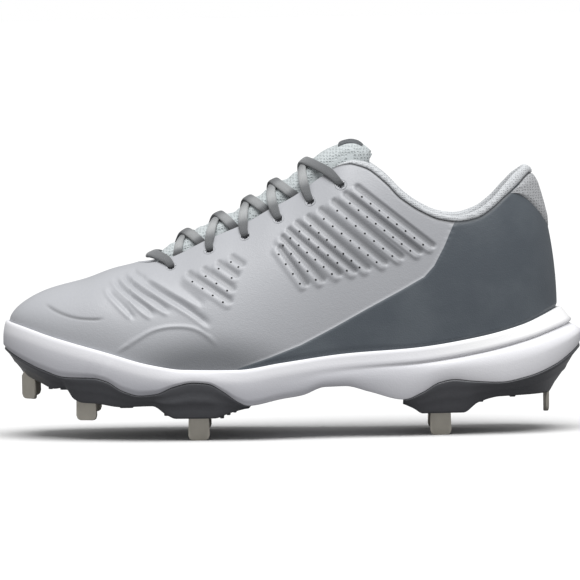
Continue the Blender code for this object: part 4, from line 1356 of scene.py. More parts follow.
@dataclass
class Upper:
    """The hollow shell with its ribs, seams and film, its eyelets, pinholes, lining and heel tab.

    Rows of ring_profile give an eyelet edge's radius and rise, those of lining_outside the share of the
    collar's band and the padding's height, and those of lining_inside how far under the collar's edge a
    point is and how far outwards; all in millimetres. The fine stretch of the wall and the painted shade
    low on it, where it turns under, are given as places of the side view.
    """

    last: Last
    relief: Relief
    wall: float = 2.0 * MM
    skirt: float = 0.6 * MM
    stations: int = 298
    outside_rows: int = 146
    inside_rows: int = 10
    eyelet_radius: float = 2.6 * MM
    eyelet_inset: float = 7.5 * MM
    pinhole_radius: float = 0.55 * MM
    pinhole_pitch: float = 5.4
    pinhole_taper: float = 0.8
    pinhole_depth: float = 0.2 * MM
    pinhole_lift: float = 0.12 * MM
    collar_start: float = 8.62
    collar_stations: int = 260
    row_crowding: float = 0.95
    fine_rise: tuple[float, float] = (-112.0, -102.0)
    fine_fall: tuple[float, float] = (74.0, 84.0)
    fineness: float = 0.8
    underside_shade_middle: tuple[float, float] = (-44.0, 36.0)
    underside_shade_reach: tuple[float, float] = (46.0, 20.0)
    underside_shade_edge: tuple[float, float] = (0.32, 1.22)
    underside_shade_depth: float = 0.98
    no_film: float = -20.0
    seam_depth: float = 0.5 * MM
    seam_shade: float = 0.9
    seam_width: float = 0.9
    seam_scale: float = 70.0
    quiet_share: float = 0.03
    ring_profile: Table = (
        (3.3, -0.06), (3.1, 0.08), (2.8, 0.08), (2.5, -0.1), (2.35, -0.7), (2.35, -2.1), (2.9, -2.5),
        (3.1, -2.1), (3.1, -0.3), (3.3, -0.06),
    )
    lining_outside: Table = (
        (0.0, -0.25), (0.03, 0.25), (0.14, 0.75), (0.35, 1.05), (0.65, 1.0), (0.88, 0.65),
    )
    lining_inside: Table = (
        (-0.35, -0.1), (-0.55, -1.2), (-0.30, -2.3), (0.8, -3.7), (3.0, -4.8), (7.0, -5.5), (14.0, -5.2),
        (24.0, -4.0), (34.0, -3.1), (43.0, -2.7), (43.0, -2.15), (24.0, -2.15), (4.0, -2.15),
        (0.9, -1.7), (0.9, -0.5),
    )
    tab_start: float = 12.29
    tab_gap: float = 0.012

    def eyelets(self) -> list[tuple[Floats, Floats]]:
        """Each eyelet's centre and outward normal, lateral and medial in turn.

        Returns:
            A (centre, outward normal) pair for each eyelet.
        """
        found = []
        for along in EYELET_ROWS:
            width = float(self.last.curves["throat"](along)) * self.last.throat_gap + self.eyelet_inset
            for side in Side:
                found.append(self.last.over(along, side.value * width))
        return found

    def underside_shade(self, view: Floats) -> Floats:
        """How much painted shade the skin gets where it turns under beside the ball of the foot."""
        away = np.linalg.norm((view - self.underside_shade_middle) / self.underside_shade_reach, axis=-1)
        return self.underside_shade_depth * (1 - smooth_step(away, *self.underside_shade_edge))

    def spaced_turns(self) -> Floats:
        """Turns once round, closer together where the ribs and the flutes are.

        Returns:
            The turns in rising order.
        """
        dense = np.linspace(0, self.last.half, 4001)
        plan = self.last.outline(dense)
        x = (plan[1:, 0] + plan[:-1, 0]) / 2 / MM
        fine = window(x, self.fine_rise, self.fine_fall)
        length = np.linalg.norm(np.diff(plan, axis=0), axis=1) * (1 + self.fineness * fine)
        run = np.concatenate([[0], np.cumsum(length)])
        half = np.interp(np.linspace(0, run[-1], self.stations + 1), run, dense)
        return np.concatenate([half, 2 * self.last.half - half[-2::-1]])

    def stitched(self, turns: Floats, heights: Floats) -> Floats:
        """How near the skin's points lie to the seam under the collar's band.

        Args:
            turns: the wall's stations.
            heights: its rows, as shares of its height.

        Returns:
            1 on the seam and 0 away from it, by station and row.
        """
        last = self.last
        rows = last.row(turns)[:, None]
        away = np.abs(heights[None, :] - last.curves["seam"](rows)) * last.edge(turns)[:, None]
        return bell(away * self.seam_scale, self.seam_width) * (rows > COLLAR_SEAM[0][0])

    def pierced(self, points: Floats) -> Floats:
        """Which points of the wall lie in an eyelet's hole.

        Args:
            points: the wall's points.

        Returns:
            Whether each is in a hole.
        """
        reach = 6.0 * MM
        centres, axes = (np.array(column) for column in zip(*self.eyelets()))
        gap = points[:, :, None, :] - centres
        side = gap - np.einsum("ijkl,kl->ijk", gap, axes)[..., None] * axes
        near = np.linalg.norm(side, axis=-1) < self.eyelet_radius
        return (near & (np.linalg.norm(gap, axis=-1) < reach)).any(axis=-1)

    def spread(self, values: Floats, columns: int, empty: float) -> Floats:
        """The outside's numbers, with an empty value on the wall's other points.

        Args:
            values: a number for each point of the outside.
            columns: how many points a station has.
            empty: the number of the other points.

        Returns:
            A number for each point of the wall.
        """
        filled = np.full((len(values), columns), empty)
        filled[:, 1:self.outside_rows + 1] = values
        return filled

    def build_shell(self, finish: Material) -> None:
        """The moulded shell, one closed wall.

        Args:
            finish: the material of the piece.
        """
        last = self.last
        turns = self.spaced_turns()
        heights = np.linspace(0, 1, self.outside_rows) ** self.row_crowding
        outside = last.skin(turns[:, None], heights[None, :])
        normal = last.normal(turns[:, None], np.maximum(heights[None, :], 1e-4) * last.edge(turns)[:, None])
        relief, shade, film = self.relief.all(outside)
        stitched = self.stitched(turns, heights)
        relief = relief - self.seam_depth * stitched
        # painted shade along the pressed seam under the collar's band
        shade = np.maximum(shade, self.seam_shade * stitched)
        quiet = smooth_step(1 - heights, 0.0, self.quiet_share) * smooth_step(heights, 0.0, self.quiet_share)
        outside = outside + normal * (relief * quiet[None, :])[..., None]
        inside = last.skin(turns[:, None], np.linspace(1, 0, self.inside_rows)[None, :], -self.wall)
        feet = [outside[:, :1].copy(), inside[:, -1:].copy()]
        for foot in feet:
            foot[:, 0, 2] = last.at_outline("bed", turns) + self.skirt
        points = np.concatenate([feet[0], outside, inside, feet[1], feet[0]], axis=1)
        columns = points.shape[1]
        marks = {
            "shade": self.spread(shade, columns, 0.0),
            "film": self.spread(film, columns, self.no_film),
            # painted shade low on the side, where the skin turns under
            "underside_shade": self.spread(self.underside_shade(side_view(outside)), columns, 0.0),
        }
        marks["film"][:, 0] = film[:, 0]
        closed = last.curves["ridge_x"](last.row(turns)) < THROAT[0][0]
        top = self.outside_rows
        x, y, z, _ = last.ridge(turns)
        points[closed, top] = np.stack([x, y, z], axis=-1)[closed]
        points[closed, top + 1] = np.stack([x, y, z - self.wall], axis=-1)[closed]
        pierced = self.pierced(points)

        def drop(row: int, column: int) -> bool:
            """Whether a face joins the walls over the closed vamp, or lies in an eyelet's hole.

            Args:
                row: the face's station.
                column: its row.

            Returns:
                Whether the face is left out.
            """
            if column == top and closed[row] and closed[min(row + 1, len(turns) - 1)]:
                return True
            return bool(pierced[row:row + 2, column:column + 2].all())

        shell = shaped_grid("upper_shell", points, marks, drop=drop)
        nodes = ("upper", "ribbed_quarter_lateral", "ribbed_quarter_medial", "heel_counter")
        place(shell, finish, "light_grey_synthetic", *nodes)

    def build_eyelets(self, finish: Material) -> None:
        """A pressed edge round each punched eyelet.

        Args:
            finish: the material of the piece.
        """
        rings = []
        turn = np.linspace(0, 2 * math.pi, 25)[:, None]
        radius, rise = np.array(self.ring_profile).T * MM
        for number, (centre, out) in enumerate(self.eyelets()):
            first = unit(np.cross(out, (1.0, 0.0, 0.0)))
            second = np.cross(out, first)
            flat = np.cos(turn)[..., None] * first + np.sin(turn)[..., None] * second
            points = centre + flat * radius[None, :, None] + rise[None, :, None] * out
            rings.append(shaped_grid(f"ring_{number}", points))
        place(joined("eyelet_edges", rings), finish, "light_grey_synthetic")

    def pinhole(self, side: Side, x_mm: float, z_mm: float) -> tuple[Floats, Floats]:
        """The centre and outward normal of a pinhole that shows at a point of the side view.

        Args:
            side: which side of the shoe it is on.
            x_mm: across the view, in millimetres.
            z_mm: up the view, in millimetres.

        Returns:
            The centre and the normal.
        """
        turn, angle = self.last.from_side(side, x_mm, z_mm)
        base = self.last.on_section(turn, angle)
        out = self.last.normal(turn, angle)
        lift, _, _ = self.relief.all(base[None])
        return base + out * (float(lift[0]) + self.pinhole_lift), out

    def build_pinholes(self, finish: Material) -> None:
        """Small dark discs in a row along each rib, painted shade where the punched holes show.

        Args:
            finish: the material of the piece.
        """
        spots = []
        for side in Side:
            for ribs, first, final in ((REAR_RIBS, 0.10, 0.92), (FRONT_RIBS, 0.15, 0.9)):
                for a, b, c, d in ribs:
                    count = max(int(math.hypot(c - a, d - b) * (final - first) / self.pinhole_pitch), 1)
                    for share in np.linspace(first, final, count + 1):
                        spots.append(self.pinhole(side, a + (c - a) * share, b + (d - b) * share))
        bm = bmesh.new()
        for centre, out in spots:
            turn = Vector(out).to_track_quat("Z", "X").to_matrix().to_4x4()
            bmesh.ops.create_cone(
                bm, cap_ends=True, segments=10, depth=self.pinhole_depth, radius1=self.pinhole_radius,
                radius2=self.pinhole_radius * self.pinhole_taper,
                matrix=Matrix.Translation(Vector(centre)) @ turn,
            )
        place(finished("pinholes", bm, 1e-8), finish, "light_grey_synthetic")

    def build_lining(self, finish: Material) -> None:
        """The padded mesh from its seam over the collar's edge and down the inside.

        Args:
            finish: the material of the piece.
        """
        last = self.last
        stations = self.collar_stations
        turns = np.linspace(self.collar_start, 2 * last.half - self.collar_start, stations)
        edge = last.edge(turns)[:, None]
        seam = last.curves["seam"](last.row(turns))[:, None]
        tenth = last.skin(turns, np.ones(stations)) - last.skin(turns, np.full(stations, 0.9))
        length = np.linalg.norm(tenth, axis=-1)[:, None] * 10
        swell = np.clip((1 - seam) * length / (5 * MM), 0.12, 1.0)
        even = np.ones_like(swell)
        rows = [seam + (1 - seam) * share for share, _ in self.lining_outside]
        offsets = [off * MM * (swell if off > 0 else even) for _, off in self.lining_outside]
        rows += [1 - below * MM / length for below, _ in self.lining_inside]
        offsets += [off * MM * even for _, off in self.lining_inside]
        angle = np.maximum(np.concatenate([*rows, rows[0]], axis=1) * edge, 1e-3)
        offset = np.concatenate([*offsets, offsets[0]], axis=1)
        base = last.on_section(turns[:, None], angle)
        points = base + last.normal(turns[:, None], angle) * offset[..., None]
        for end in (0, -1):
            points[end] = points[end].mean(axis=0)
        lining = shaped_grid("collar_lining", points)
        place(lining, finish, "tongue_mesh")

    def build_heel_tab(self, finish: Material) -> None:
        """The knitted pad over the back of the collar.

        Args:
            finish: the material of the piece.
        """
        last = self.last
        u, v = np.meshgrid(np.linspace(0, 1, 72), np.linspace(0, 1, 26))
        turn = self.tab_start + (2 * last.half - 2 * self.tab_start) * u
        low = last.curves["tab_foot"](last.row(turn)) + self.tab_gap
        height = low + (last.curves["seam"](last.row(turn)) - self.tab_gap - low) * v
        rise = (0.35 + 1.35 * np.sqrt(rim(u, v, 9, 5))) * MM
        top = last.skin(turn, height, rise)
        back = last.skin(turn, height, np.full(turn.shape, 0.15 * MM))
        points = np.concatenate([top, back[::-1], top[:1]], axis=0)
        tab = shaped_grid("heel_tab_knit", points)
        place(tab, finish, "heel_tab_knit", "heel_tab")


@dataclass
class Tongue:
    """The padded tongue in the throat, with a short dark tape over its top."""

    last: Last
    half_width: float = 26.0 * MM
    thickness: float = 6.0 * MM
    start: float = 0.215
    end: float = 0.632
    tuck: float = 4.9 * MM
    roll_start: float = 0.596
    end_round: float = 1.45
    face_drop: float = 0.3 * MM
    quilt: float = 0.35 * MM
    tape_start: float = 0.588
    tape_length: float = 0.036
    tape_half_width: float = 6.5 * MM
    tape_rise: float = 0.9 * MM
    tape_sink: float = 0.3 * MM

    def face(self, along: Floats, width: Floats) -> Floats:
        """How far the tongue's top lies off the last: proud in the throat, low under the eyestay.

        Args:
            along: share of the sole's length.
            width: distance from the ridge.

        Returns:
            The distances.
        """
        gap = self.last.curves["throat"](along) * self.last.throat_gap
        low = smooth_step(np.abs(width), gap - 8 * MM, gap - 1 * MM)
        low = np.maximum(low, 1 - smooth_step(along, 0.262, 0.285))
        return self.last.crown(along, width) - self.face_drop - low * (self.tuck - self.face_drop)

    def roll(self, along: Floats) -> Floats:
        """How far the tongue's top edge is rounded down."""
        share = np.clip((along - self.roll_start) / (self.end - self.roll_start), 0, 1)
        return self.thickness * self.end_round * share**3

    def build(self, finish: Material, trim: Material) -> None:
        """The pad and the dark tape over its top.

        Args:
            finish: the pad's material.
            trim: the tape's material.
        """
        last = self.last
        along = np.linspace(self.start, self.end, 150)[:, None]
        share = np.linspace(-1, 1, 49)[None, :]
        width = share * last.curves["tongue"](along) * self.half_width
        along, width = np.broadcast_arrays(along, width)
        roll = self.roll(along)
        swell = self.quilt * np.sin(along * 260.0) * smooth_step(0.56 - along, 0, 0.05)
        offset = self.face(along, width) - roll + swell * bell(width, 9 * MM)
        base, out = last.over(along, width)
        thick = self.thickness * np.clip(0.55 + 1.2 * (along - 0.25), 0.5, 1.0) - 0.5 * roll
        thick = thick * (1 - 0.75 * np.abs(share) ** 4)
        top = base + out * offset[..., None]
        back = base + out * (offset - thick)[..., None]
        points = np.concatenate([top, back[:, ::-1], top[:, :1]], axis=1)
        points[0] = points[0].mean(axis=0)
        middle = points[-1].mean(axis=0)
        end = np.broadcast_to(middle, points[-1:].shape)
        points = np.concatenate([points, (points[-1:] + middle) / 2, end])
        pad = shaped_grid("tongue_pad", points)
        place(pad, finish, "tongue_mesh", "tongue")
        self.build_label(trim)

    def build_label(self, trim: Material) -> None:
        """A short dark trim tape over the middle of the tongue's top.

        Args:
            trim: the tape's material.
        """
        u, v = np.meshgrid(np.linspace(0, 1, 21), np.linspace(0, 1, 21))
        along = self.tape_start + self.tape_length * u
        width = (2 * v - 1) * self.tape_half_width
        base, out = self.last.over(along, width)
        low = self.face(along, width) - self.roll(along)
        top = base + out * (low + self.tape_rise * np.sqrt(rim(u, v, 8, 10)))[..., None]
        back = base + out * (low - self.tape_sink)[..., None]
        label = shaped_grid("tongue_tape", np.concatenate([top, back[::-1], top[:1]], axis=0))
        place(label, trim, "tongue_mesh")


def tube(
    name: str, centre: Floats, out: Floats, half: Floats, thick: Floats, count: int, shade: Floats,
) -> Piece:
    """A flat-oval strand along a path.

    Args:
        name: the piece's name.
        centre: the path's points.
        out: the direction that the strand's flat side faces at each point.
        half: half its width at each point.
        thick: half its thickness at each point.
        count: how many faces go round it.
        shade: its painted shade at each point; below 0 a painted highlight.

    Returns:
        The new object, with its length and girth as the pattern's coordinates.
    """
    ahead = unit(np.gradient(centre, axis=0))
    side = unit(np.cross(out, ahead))
    up = unit(np.cross(ahead, side))
    turn = np.linspace(0, 2 * math.pi, count + 1)
    across = np.sign(np.cos(turn)) * np.abs(np.cos(turn)) ** 0.75
    rise = np.sign(np.sin(turn)) * np.abs(np.sin(turn)) ** 0.85
    points = (
        centre[:, None]
        + side[:, None] * (half[:, None] * across[None, :])[..., None]
        + up[:, None] * (thick[:, None] * rise[None, :])[..., None]
    )
    points[0] = centre[0]
    points[-1] = centre[-1]
    run = np.concatenate([[0], np.cumsum(np.linalg.norm(np.diff(centre, axis=0), axis=1))])
    girth = np.linspace(0, 14, count + 1)
    uv = np.stack(np.broadcast_arrays(run[:, None] / (0.9 * MM), girth[None, :]), axis=-1)
    marks = {"shade": np.repeat(shade[:, None], count + 1, axis=1)}
    return shaped_grid(name, points, marks, uv=uv)


class End(Enum):
    """How a run of lace ends: down through its eyelet, or under the eyestay's edge."""

    THROUGH = "through"
    UNDER = "under"


@dataclass
class Lacing:
    """The lace's runs, from the bar at the throat's base to the top pair of eyelets."""

    last: Last
    eyelet_inset: float = 7.5 * MM
    half_width: float = 2.6 * MM
    half_thickness: float = 0.9 * MM
    lift: float = 0.75 * MM
    crossings: tuple[float, ...] = (0.36, 0.24, 0.10, -0.12, -0.12)
    hump: float = 1.5 * MM
    bar_bow: float = -0.038
    bar_rise: float = -0.9 * MM
    bar_spread: float = 0.35
    bar_thickness: float = 1.3 * MM
    past_eyelet: float = 0.4 * MM
    hump_width: float = 6.5 * MM
    stations: int = 64

    def reach(self, number: int) -> float:
        """Distance of an eyelet from the ridge."""
        gap = float(self.last.curves["throat"](EYELET_ROWS[number])) * self.last.throat_gap
        return gap + self.eyelet_inset

    def height(self, width: Floats, gap: float, reach: float, end: End) -> Floats:
        """The run's height off the skin by its distance from the ridge, at one of its ends.

        Args:
            width: distance from the ridge.
            gap: half the throat's width.
            reach: how far the eyelet is from the ridge.
            end: how the run ends there.

        Returns:
            The heights.
        """
        if end is End.THROUGH:
            places = (0.0, reach - 5.5 * MM, reach - 2.6 * MM, reach - 1.0 * MM, reach + self.past_eyelet)
            heights = (self.lift, self.lift + 0.3 * MM, self.lift + 0.35 * MM, 0.1 * MM, -2.8 * MM)
        else:
            places = (0.0, gap - 8.0 * MM, gap - 3.0 * MM, gap + 0.5 * MM, reach)
            heights = (self.lift, self.lift * 0.9, -1.3 * MM, -3.4 * MM, -3.5 * MM)
        return np.interp(np.abs(width), places, heights)

    def run(self, start: tuple[int, Side, End], end: tuple[int, Side, End], hump: float) -> Piece:
        """One run from an eyelet to another, over the tongue.

        Args:
            start: the eyelet's row, its side and how the run ends there.
            end: the same for the other end.
            hump: how far the run rises over the one that it crosses.

        Returns:
            The new object.
        """
        share = np.linspace(0, 1, self.stations)
        is_bar = start[0] == end[0]
        reach = [self.reach(start[0]) + self.past_eyelet, self.reach(end[0]) + self.past_eyelet]
        width = start[1].value * reach[0] + (end[1].value * reach[1] - start[1].value * reach[0]) * share
        rows = np.array([EYELET_ROWS[start[0]], EYELET_ROWS[end[0]]])
        if is_bar:
            along = rows[0] + self.bar_bow * np.sin(math.pi * share) ** 1.3
        else:
            lean = 4 * self.crossings[start[0]] - 1
            along = rows[0] + (rows[1] - rows[0]) * (lean * share + (1 - lean) * share**2)
        gap = float(self.last.curves["throat"](rows.mean())) * self.last.throat_gap
        first = self.height(width, gap, reach[0], start[2])
        second = self.height(width, gap, reach[1], end[2])
        offset = np.where(share < 0.5, first, second)
        offset = np.convolve(np.pad(offset, 2, mode="edge"), np.ones(5) / 5, mode="valid")
        offset = offset + hump * bell(width, self.hump_width) + self.last.crown(along, width)
        base, out = self.last.over(along, width)
        centre = base + out * offset[:, None]
        narrow = np.ones(self.stations)
        for which, near in ((start[2], share), (end[2], 1 - share)):
            if which is End.THROUGH:
                narrow = np.minimum(narrow, 0.80 + 0.20 * smooth_step(near, 0.03, 0.14))
        # painted shade where the run sinks into the tongue and through its eyelets
        sunk_shade = smooth_step(-offset, -0.9 * MM, 1.6 * MM)
        # where the run catches the light: mid-run on top, past the crossing, or before it
        is_top = end[0] == len(EYELET_ROWS) - 1
        if is_bar or (is_top and hump):
            lit = 0.35 * bell(share - 0.5, 0.2) - 0.15
        elif hump:
            lit = 0.55 * smooth_step(share, 0.52, 0.66) - 0.55 * bell(share - 0.46, 0.12)
        else:
            lit = 1.0 * bell(share - 0.27, 0.12) - 0.3 * bell(share - 0.10, 0.06)
        middle = np.sin(math.pi * share) ** 2 * is_bar
        wide = self.half_width * (1 + self.bar_spread * middle) * narrow
        thick = self.half_thickness + (self.bar_thickness - self.half_thickness) * middle
        return tube("lace_run", centre, out, wide, thick, 14, 0.85 * sunk_shade - lit * (1 - sunk_shade))

    def build(self, finish: Material) -> None:
        """All the runs, joined as one lace.

        Args:
            finish: the material of the piece.
        """
        runs = [self.run((0, Side.LATERAL, End.THROUGH), (0, Side.MEDIAL, End.THROUGH), self.bar_rise)]
        last_row = len(EYELET_ROWS) - 1
        for row in range(last_row):
            begin = End.UNDER if row == 0 else End.THROUGH
            finish_end = End.THROUGH if row == last_row - 1 else End.UNDER
            runs.append(self.run((row, Side.MEDIAL, begin), (row + 1, Side.LATERAL, finish_end), self.hump))
            runs.append(self.run((row, Side.LATERAL, begin), (row + 1, Side.MEDIAL, finish_end), 0.0))
        place(joined("lace", runs), finish, "lace_cord", "laces")


@dataclass
class Sockliner:
    """The insole, dished a little and with a rounded edge."""

    last: Last
    inset: float = 2.6 * MM
    thickness: float = 3.5 * MM
    gap: float = 0.3 * MM
    dish: float = 0.375

    def build(self, finish: Material) -> None:
        """The insole as one closed pad.

        Args:
            finish: the material of the piece.
        """
        last = self.last
        turns = np.linspace(0, last.half, 120)
        share = np.linspace(0, 1, 31)
        sides = []
        for turn in (turns, 2 * last.half - turns):
            plan = last.outline(turn, -self.inset)
            sides.append(with_height(plan, last.at_outline("bed", turn) + self.gap))
        low = sides[0][:, None] + (sides[1] - sides[0])[:, None] * share[None, :, None]
        dish = 1 - self.dish * np.sin(math.pi * share) ** 2
        edge = smooth_step(np.minimum(share, 1 - share), 0.0, 0.05)
        top = low.copy()
        top[..., 2] += self.thickness * (dish * (0.5 + 0.5 * edge))[None, :]
        points = np.concatenate([top, low[:, ::-1], top[:, :1]], axis=1)
        pad = shaped_grid("sockliner", points)
        place(pad, finish, "sockliner_foam", "insole")


@dataclass
class Midsole:
    """The white foam cup with its lip, the groove round the heel and the bulge under it.

    The swell shares are how far down the side each row is in front of the heel's band. Each of flex_lines
    is a line's place along the shoe, in millimetres, and its lean.
    """

    last: Last
    gap: float = 0.3 * MM
    lip_wall: float = 1.8 * MM
    heel_band: float = 7.8 * MM
    groove: float = 1.3 * MM
    setback: float = 0.9 * MM
    swell_shares: tuple[float, ...] = (0.12, 0.22, 0.31, 0.39, 0.46, 0.54, 0.62, 0.71, 0.80, 0.90, 0.98)
    fullest: float = 0.72
    notch_rows: tuple[float, float] = (8.5, 11.0)
    band_rows: tuple[float, float] = (7.0, 9.5)
    flex_lines: Table = ((-101.0, 0.5), (-97.5, 0.55), (-94.5, 0.6))
    flex_depth: float = 0.35 * MM
    flex_width: float = 0.8
    stations: int = 330

    def profile(self, turns: Floats) -> Floats:
        """The outside of the cup from rim to plate.

        Args:
            turns: where round the outline, in section rows.

        Returns:
            The points by turn and by row, from rim to plate.
        """
        last = self.last
        wide = last.flare(turns)
        lip_out = self.gap + self.lip_wall + 0.1 * (wide - last.side_flare)
        band_out = lip_out + 0.5 * (wide - lip_out)
        notch = self.groove * smooth_step(last.row(turns), *self.notch_rows)
        top = last.at_outline("lip", turns)
        split = last.outline(turns, wide - self.setback)
        split_z = last.level("split", split[..., 0], turns)
        band = np.maximum(top - self.heel_band, split_z + 0.45 * (top - split_z))
        mid = split_z + 0.5 * (band - split_z)
        rows = [
            (self.gap + 0 * wide, top - 0.4 * MM), (self.gap + 0.35 * MM + 0 * wide, top + 0.1 * MM),
            (lip_out - 0.5 * MM, top + 0.12 * MM), (lip_out + 0.05 * MM, top - 0.45 * MM),
        ]
        heel = [
            (lip_out + 0.30 * (band_out - lip_out), top - 0.25 * (top - band)),
            (lip_out + 0.72 * (band_out - lip_out), top - 0.62 * (top - band)),
            (band_out + 0.1 * MM, band + 1.5 * MM), (band_out - 0.25 * notch, band + 0.5 * MM),
            (band_out - notch, band - 0.2 * MM), (band_out - 0.3 * notch, band - 0.9 * MM),
            (band_out + 0.45 * (wide - band_out), band - 0.22 * (band - mid) - 0.9 * MM),
            (wide - 0.05 * MM, mid + 0.25 * (band - mid)), (wide, mid),
            (wide - 0.15 * MM, split_z + 0.3 * (mid - split_z)),
            (wide - self.setback + 0.1 * MM, split_z + 0.05 * (mid - split_z)),
        ]
        banded = smooth_step(last.row(turns), *self.band_rows)
        for (offset, z), share in zip(heel, self.swell_shares):
            swell = 1 - (1 - min(share / self.fullest, 1.0)) ** 2 - 0.25 * max(share - self.fullest, 0.0) ** 2
            plain = lip_out + (wide - lip_out) * swell - (self.setback if share > 0.95 else 0.0)
            level = (top - share * (top - split_z)) * (1 - banded) + z * banded
            rows.append((plain + (offset - plain) * banded, level))
        points = [with_height(last.outline(turns, offset), z) for offset, z in rows]
        return self.wrinkle(np.stack([*points, with_height(split, split_z)], axis=1))

    def wrinkle(self, points: Floats) -> Floats:
        """Presses small flex lines across the band in front of the ball.

        Args:
            points: the outside's points, changed in place.

        Returns:
            The same points.
        """
        for x_mm, lean in self.flex_lines:
            away = points[..., 0] / MM - x_mm - lean * (points[..., 2] / MM - 42.0)
            dip = self.flex_depth * bell(away, self.flex_width) * (np.abs(points[..., 1]) > 15 * MM)
            points[..., 1] -= np.sign(points[..., 1]) * dip
        return points

    def build(self, finish: Material) -> None:
        """The cup as one closed solid.

        Args:
            finish: the material of the piece.
        """
        last = self.last
        turns = np.linspace(0, last.half, self.stations)
        lateral, medial = self.profile(turns), self.profile(2 * last.half - turns)
        share = np.linspace(0, 1, 7)[None, 1:-1, None]
        under = lateral[:, -1:] + (medial[:, -1:] - lateral[:, -1:]) * share
        beds = []
        for turn in (2 * last.half - turns, turns):
            plan = last.outline(turn, self.gap)
            beds.append(with_height(plan, last.at_outline("bed", turn))[:, None])
        points = np.concatenate([lateral, under, medial[:, ::-1], *beds, lateral[:, :1]], axis=1)
        row = last.row(turns)[:, None]
        # painted shade darker towards the bottom, over the forefoot and more at the ball; painted highlight
        # on the heel's upper band
        depth = smooth_step((points[:, :1, 2] - points[..., 2]) / MM, 2.0, 16.0)
        ball = bell(points[..., 0] / MM + 58.0, 26.0)
        rear = smooth_step(row, 8.0, 12.0)
        shade = (0.30 - 0.30 * rear + 0.32 * ball) * depth + 0.38 * (1 - rear) * smooth_step(depth, 0.0, 0.3)
        shade -= 0.9 * smooth_step(row, 9.5, 11.5) * (1 - smooth_step(depth, 0.0, 0.35))
        place(shaped_grid("midsole_cup", points, {"shade": shade}), finish, "white_foam", "midsole")


@dataclass
class Plates:
    """The two moulded plates with their pods and a fine tread.

    Each of wall_rows is a row down the plate's side: a share of its depth, how far out it stands between
    the undercut and the foam's edge, and whether the ledge at the ball pushes it out. The ledge rises and
    falls between places along the shoe, in millimetres.
    """

    last: Last
    gap: float = 0.3 * MM
    setback: float = 0.9 * MM
    thickness: float = 3.6 * MM
    undercut: float = 6.6 * MM
    skirt: float = 1.4 * MM
    pod_reach: float = 0.46
    ledge: float = 0.7 * MM
    stations: int = 72
    wall_rows: Rows = (
        (0.22, 0.80, 0), (0.42, 0.60, 0), (0.52, 0.52, 1), (0.58, 0.42, 0), (0.80, 0.16, 0), (0.94, 0.03, 0),
    )
    ledge_rise: tuple[float, float] = (-76.0, -68.0)
    ledge_fall: tuple[float, float] = (-44.0, -36.0)
    pod_margin: float = 1.5 * MM
    lug_width: float = 3.2 * MM
    lug_root: float = 2.5 * MM
    lug_corner: float = 0.5 * MM

    def top(self, x: Floats) -> Floats:
        """The plate's top at X, just under the foam."""
        return self.last.level("split", x) - self.gap

    def foot(self, x: Floats) -> Floats:
        """The plate's lowest face at X."""
        return np.minimum(self.last.level("keel", x), self.top(x) - self.skirt)

    def side(self, turns: Floats) -> Floats:
        """One side's section from the foam's edge to the recess between the pods.

        Args:
            turns: where round the outline, in section rows.

        Returns:
            The points by turn and by row.
        """
        last = self.last
        wide = last.flare(turns) - self.setback
        cut = last.curves["undercut"](last.row(turns)) * self.undercut
        outline = last.outline(turns)
        middle = np.stack(last.ridge_plan(turns), axis=-1)
        split = last.outline(turns, wide)
        foot = last.outline(turns, -cut)
        top, low = self.top(split[..., 0]), self.foot(foot[..., 0])
        depth = top - low
        rows = [(split, top), (last.outline(turns, wide + 0.25 * MM), top - 0.06 * depth)]
        ledge = self.ledge * window(outline[..., 0] / MM, self.ledge_rise, self.ledge_fall)
        for share, out, pushed in self.wall_rows:
            plan = last.outline(turns, -cut + (wide + cut) * out + pushed * ledge)
            rows.append((plan, top - share * depth))
        rows.append((last.outline(turns, -cut - 0.5 * MM), low))
        least = (cut + self.pod_margin) / np.linalg.norm(middle - outline, axis=-1)
        for share, past in ((0.15, 0.0), (0.28, 0.06), (self.pod_reach - 0.02, 0.10)):
            plan = outline + (middle - outline) * np.maximum(share, least + past)[:, None]
            rows.append((plan, self.foot(plan[..., 0])))
        for share in (0.05, 0.10, 0.14, 0.25):
            plan = outline + (middle - outline) * (self.pod_reach + share)
            floor = np.maximum(self.foot(plan[..., 0]), self.top(plan[..., 0]) - self.thickness)
            blend = smooth_step(np.float64(share), 0.0, 0.12)
            rows.append((plan, floor * blend + self.foot(plan[..., 0]) * (1 - blend)))
        return np.stack([with_height(plan, z) for plan, z in rows], axis=1)

    def build(self, finish: Material) -> None:
        """Both plates, each a closed solid.

        Args:
            finish: the material of the piece.
        """
        last = self.last
        for name, start, end in (("forefoot_plate", 0, 34), ("heel_plate", 47, self.stations)):
            turns = np.linspace(start, end, (end - start) * 5) * last.half / self.stations
            lateral, medial = self.side(turns), self.side(2 * last.half - turns)
            points = np.concatenate([lateral, medial[:, ::-1], lateral[:, :1]], axis=1)
            first, final = (np.broadcast_to(ring.mean(axis=0), ring.shape)[None] for ring in points[[0, -1]])
            if start:
                points = np.concatenate([first, points])
            if end < self.stations:
                points = np.concatenate([points, final])
            place(shaped_grid(name + "_moulding", points), finish, "dark_plate", name)
        self.build_lugs(finish)

    def build_lugs(self, finish: Material) -> None:
        """Small grip lugs along both edges of the plates' undersides.

        Args:
            finish: the material of the piece.
        """
        last = self.last
        dense = np.linspace(0, last.half, 2001)
        reach = last.outline(dense)[:, 0]
        bm = bmesh.new()
        for x_mm, length, drop, inset in LUGS:
            half_turn = float(np.interp(x_mm * MM, reach, dense))
            for turn in (half_turn, 2 * last.half - half_turn):
                spot = last.outline(np.array([turn]), -inset * MM)[0]
                height = drop * MM + self.lug_root
                z = float(self.foot(np.float64(spot[0]))) - drop * MM + height / 2
                size = Matrix.Diagonal((length * MM, self.lug_width, height, 1.0))
                stand = Matrix.Translation((spot[0], spot[1], z))
                cube = bmesh.ops.create_cube(bm, size=1.0, matrix=stand @ size)
                edges = {edge for vert in cube["verts"] for edge in vert.link_edges}
                soften(bm, list(edges), self.lug_corner)
        place(finished("plate_lugs", bm, 1e-8), finish, "dark_plate")


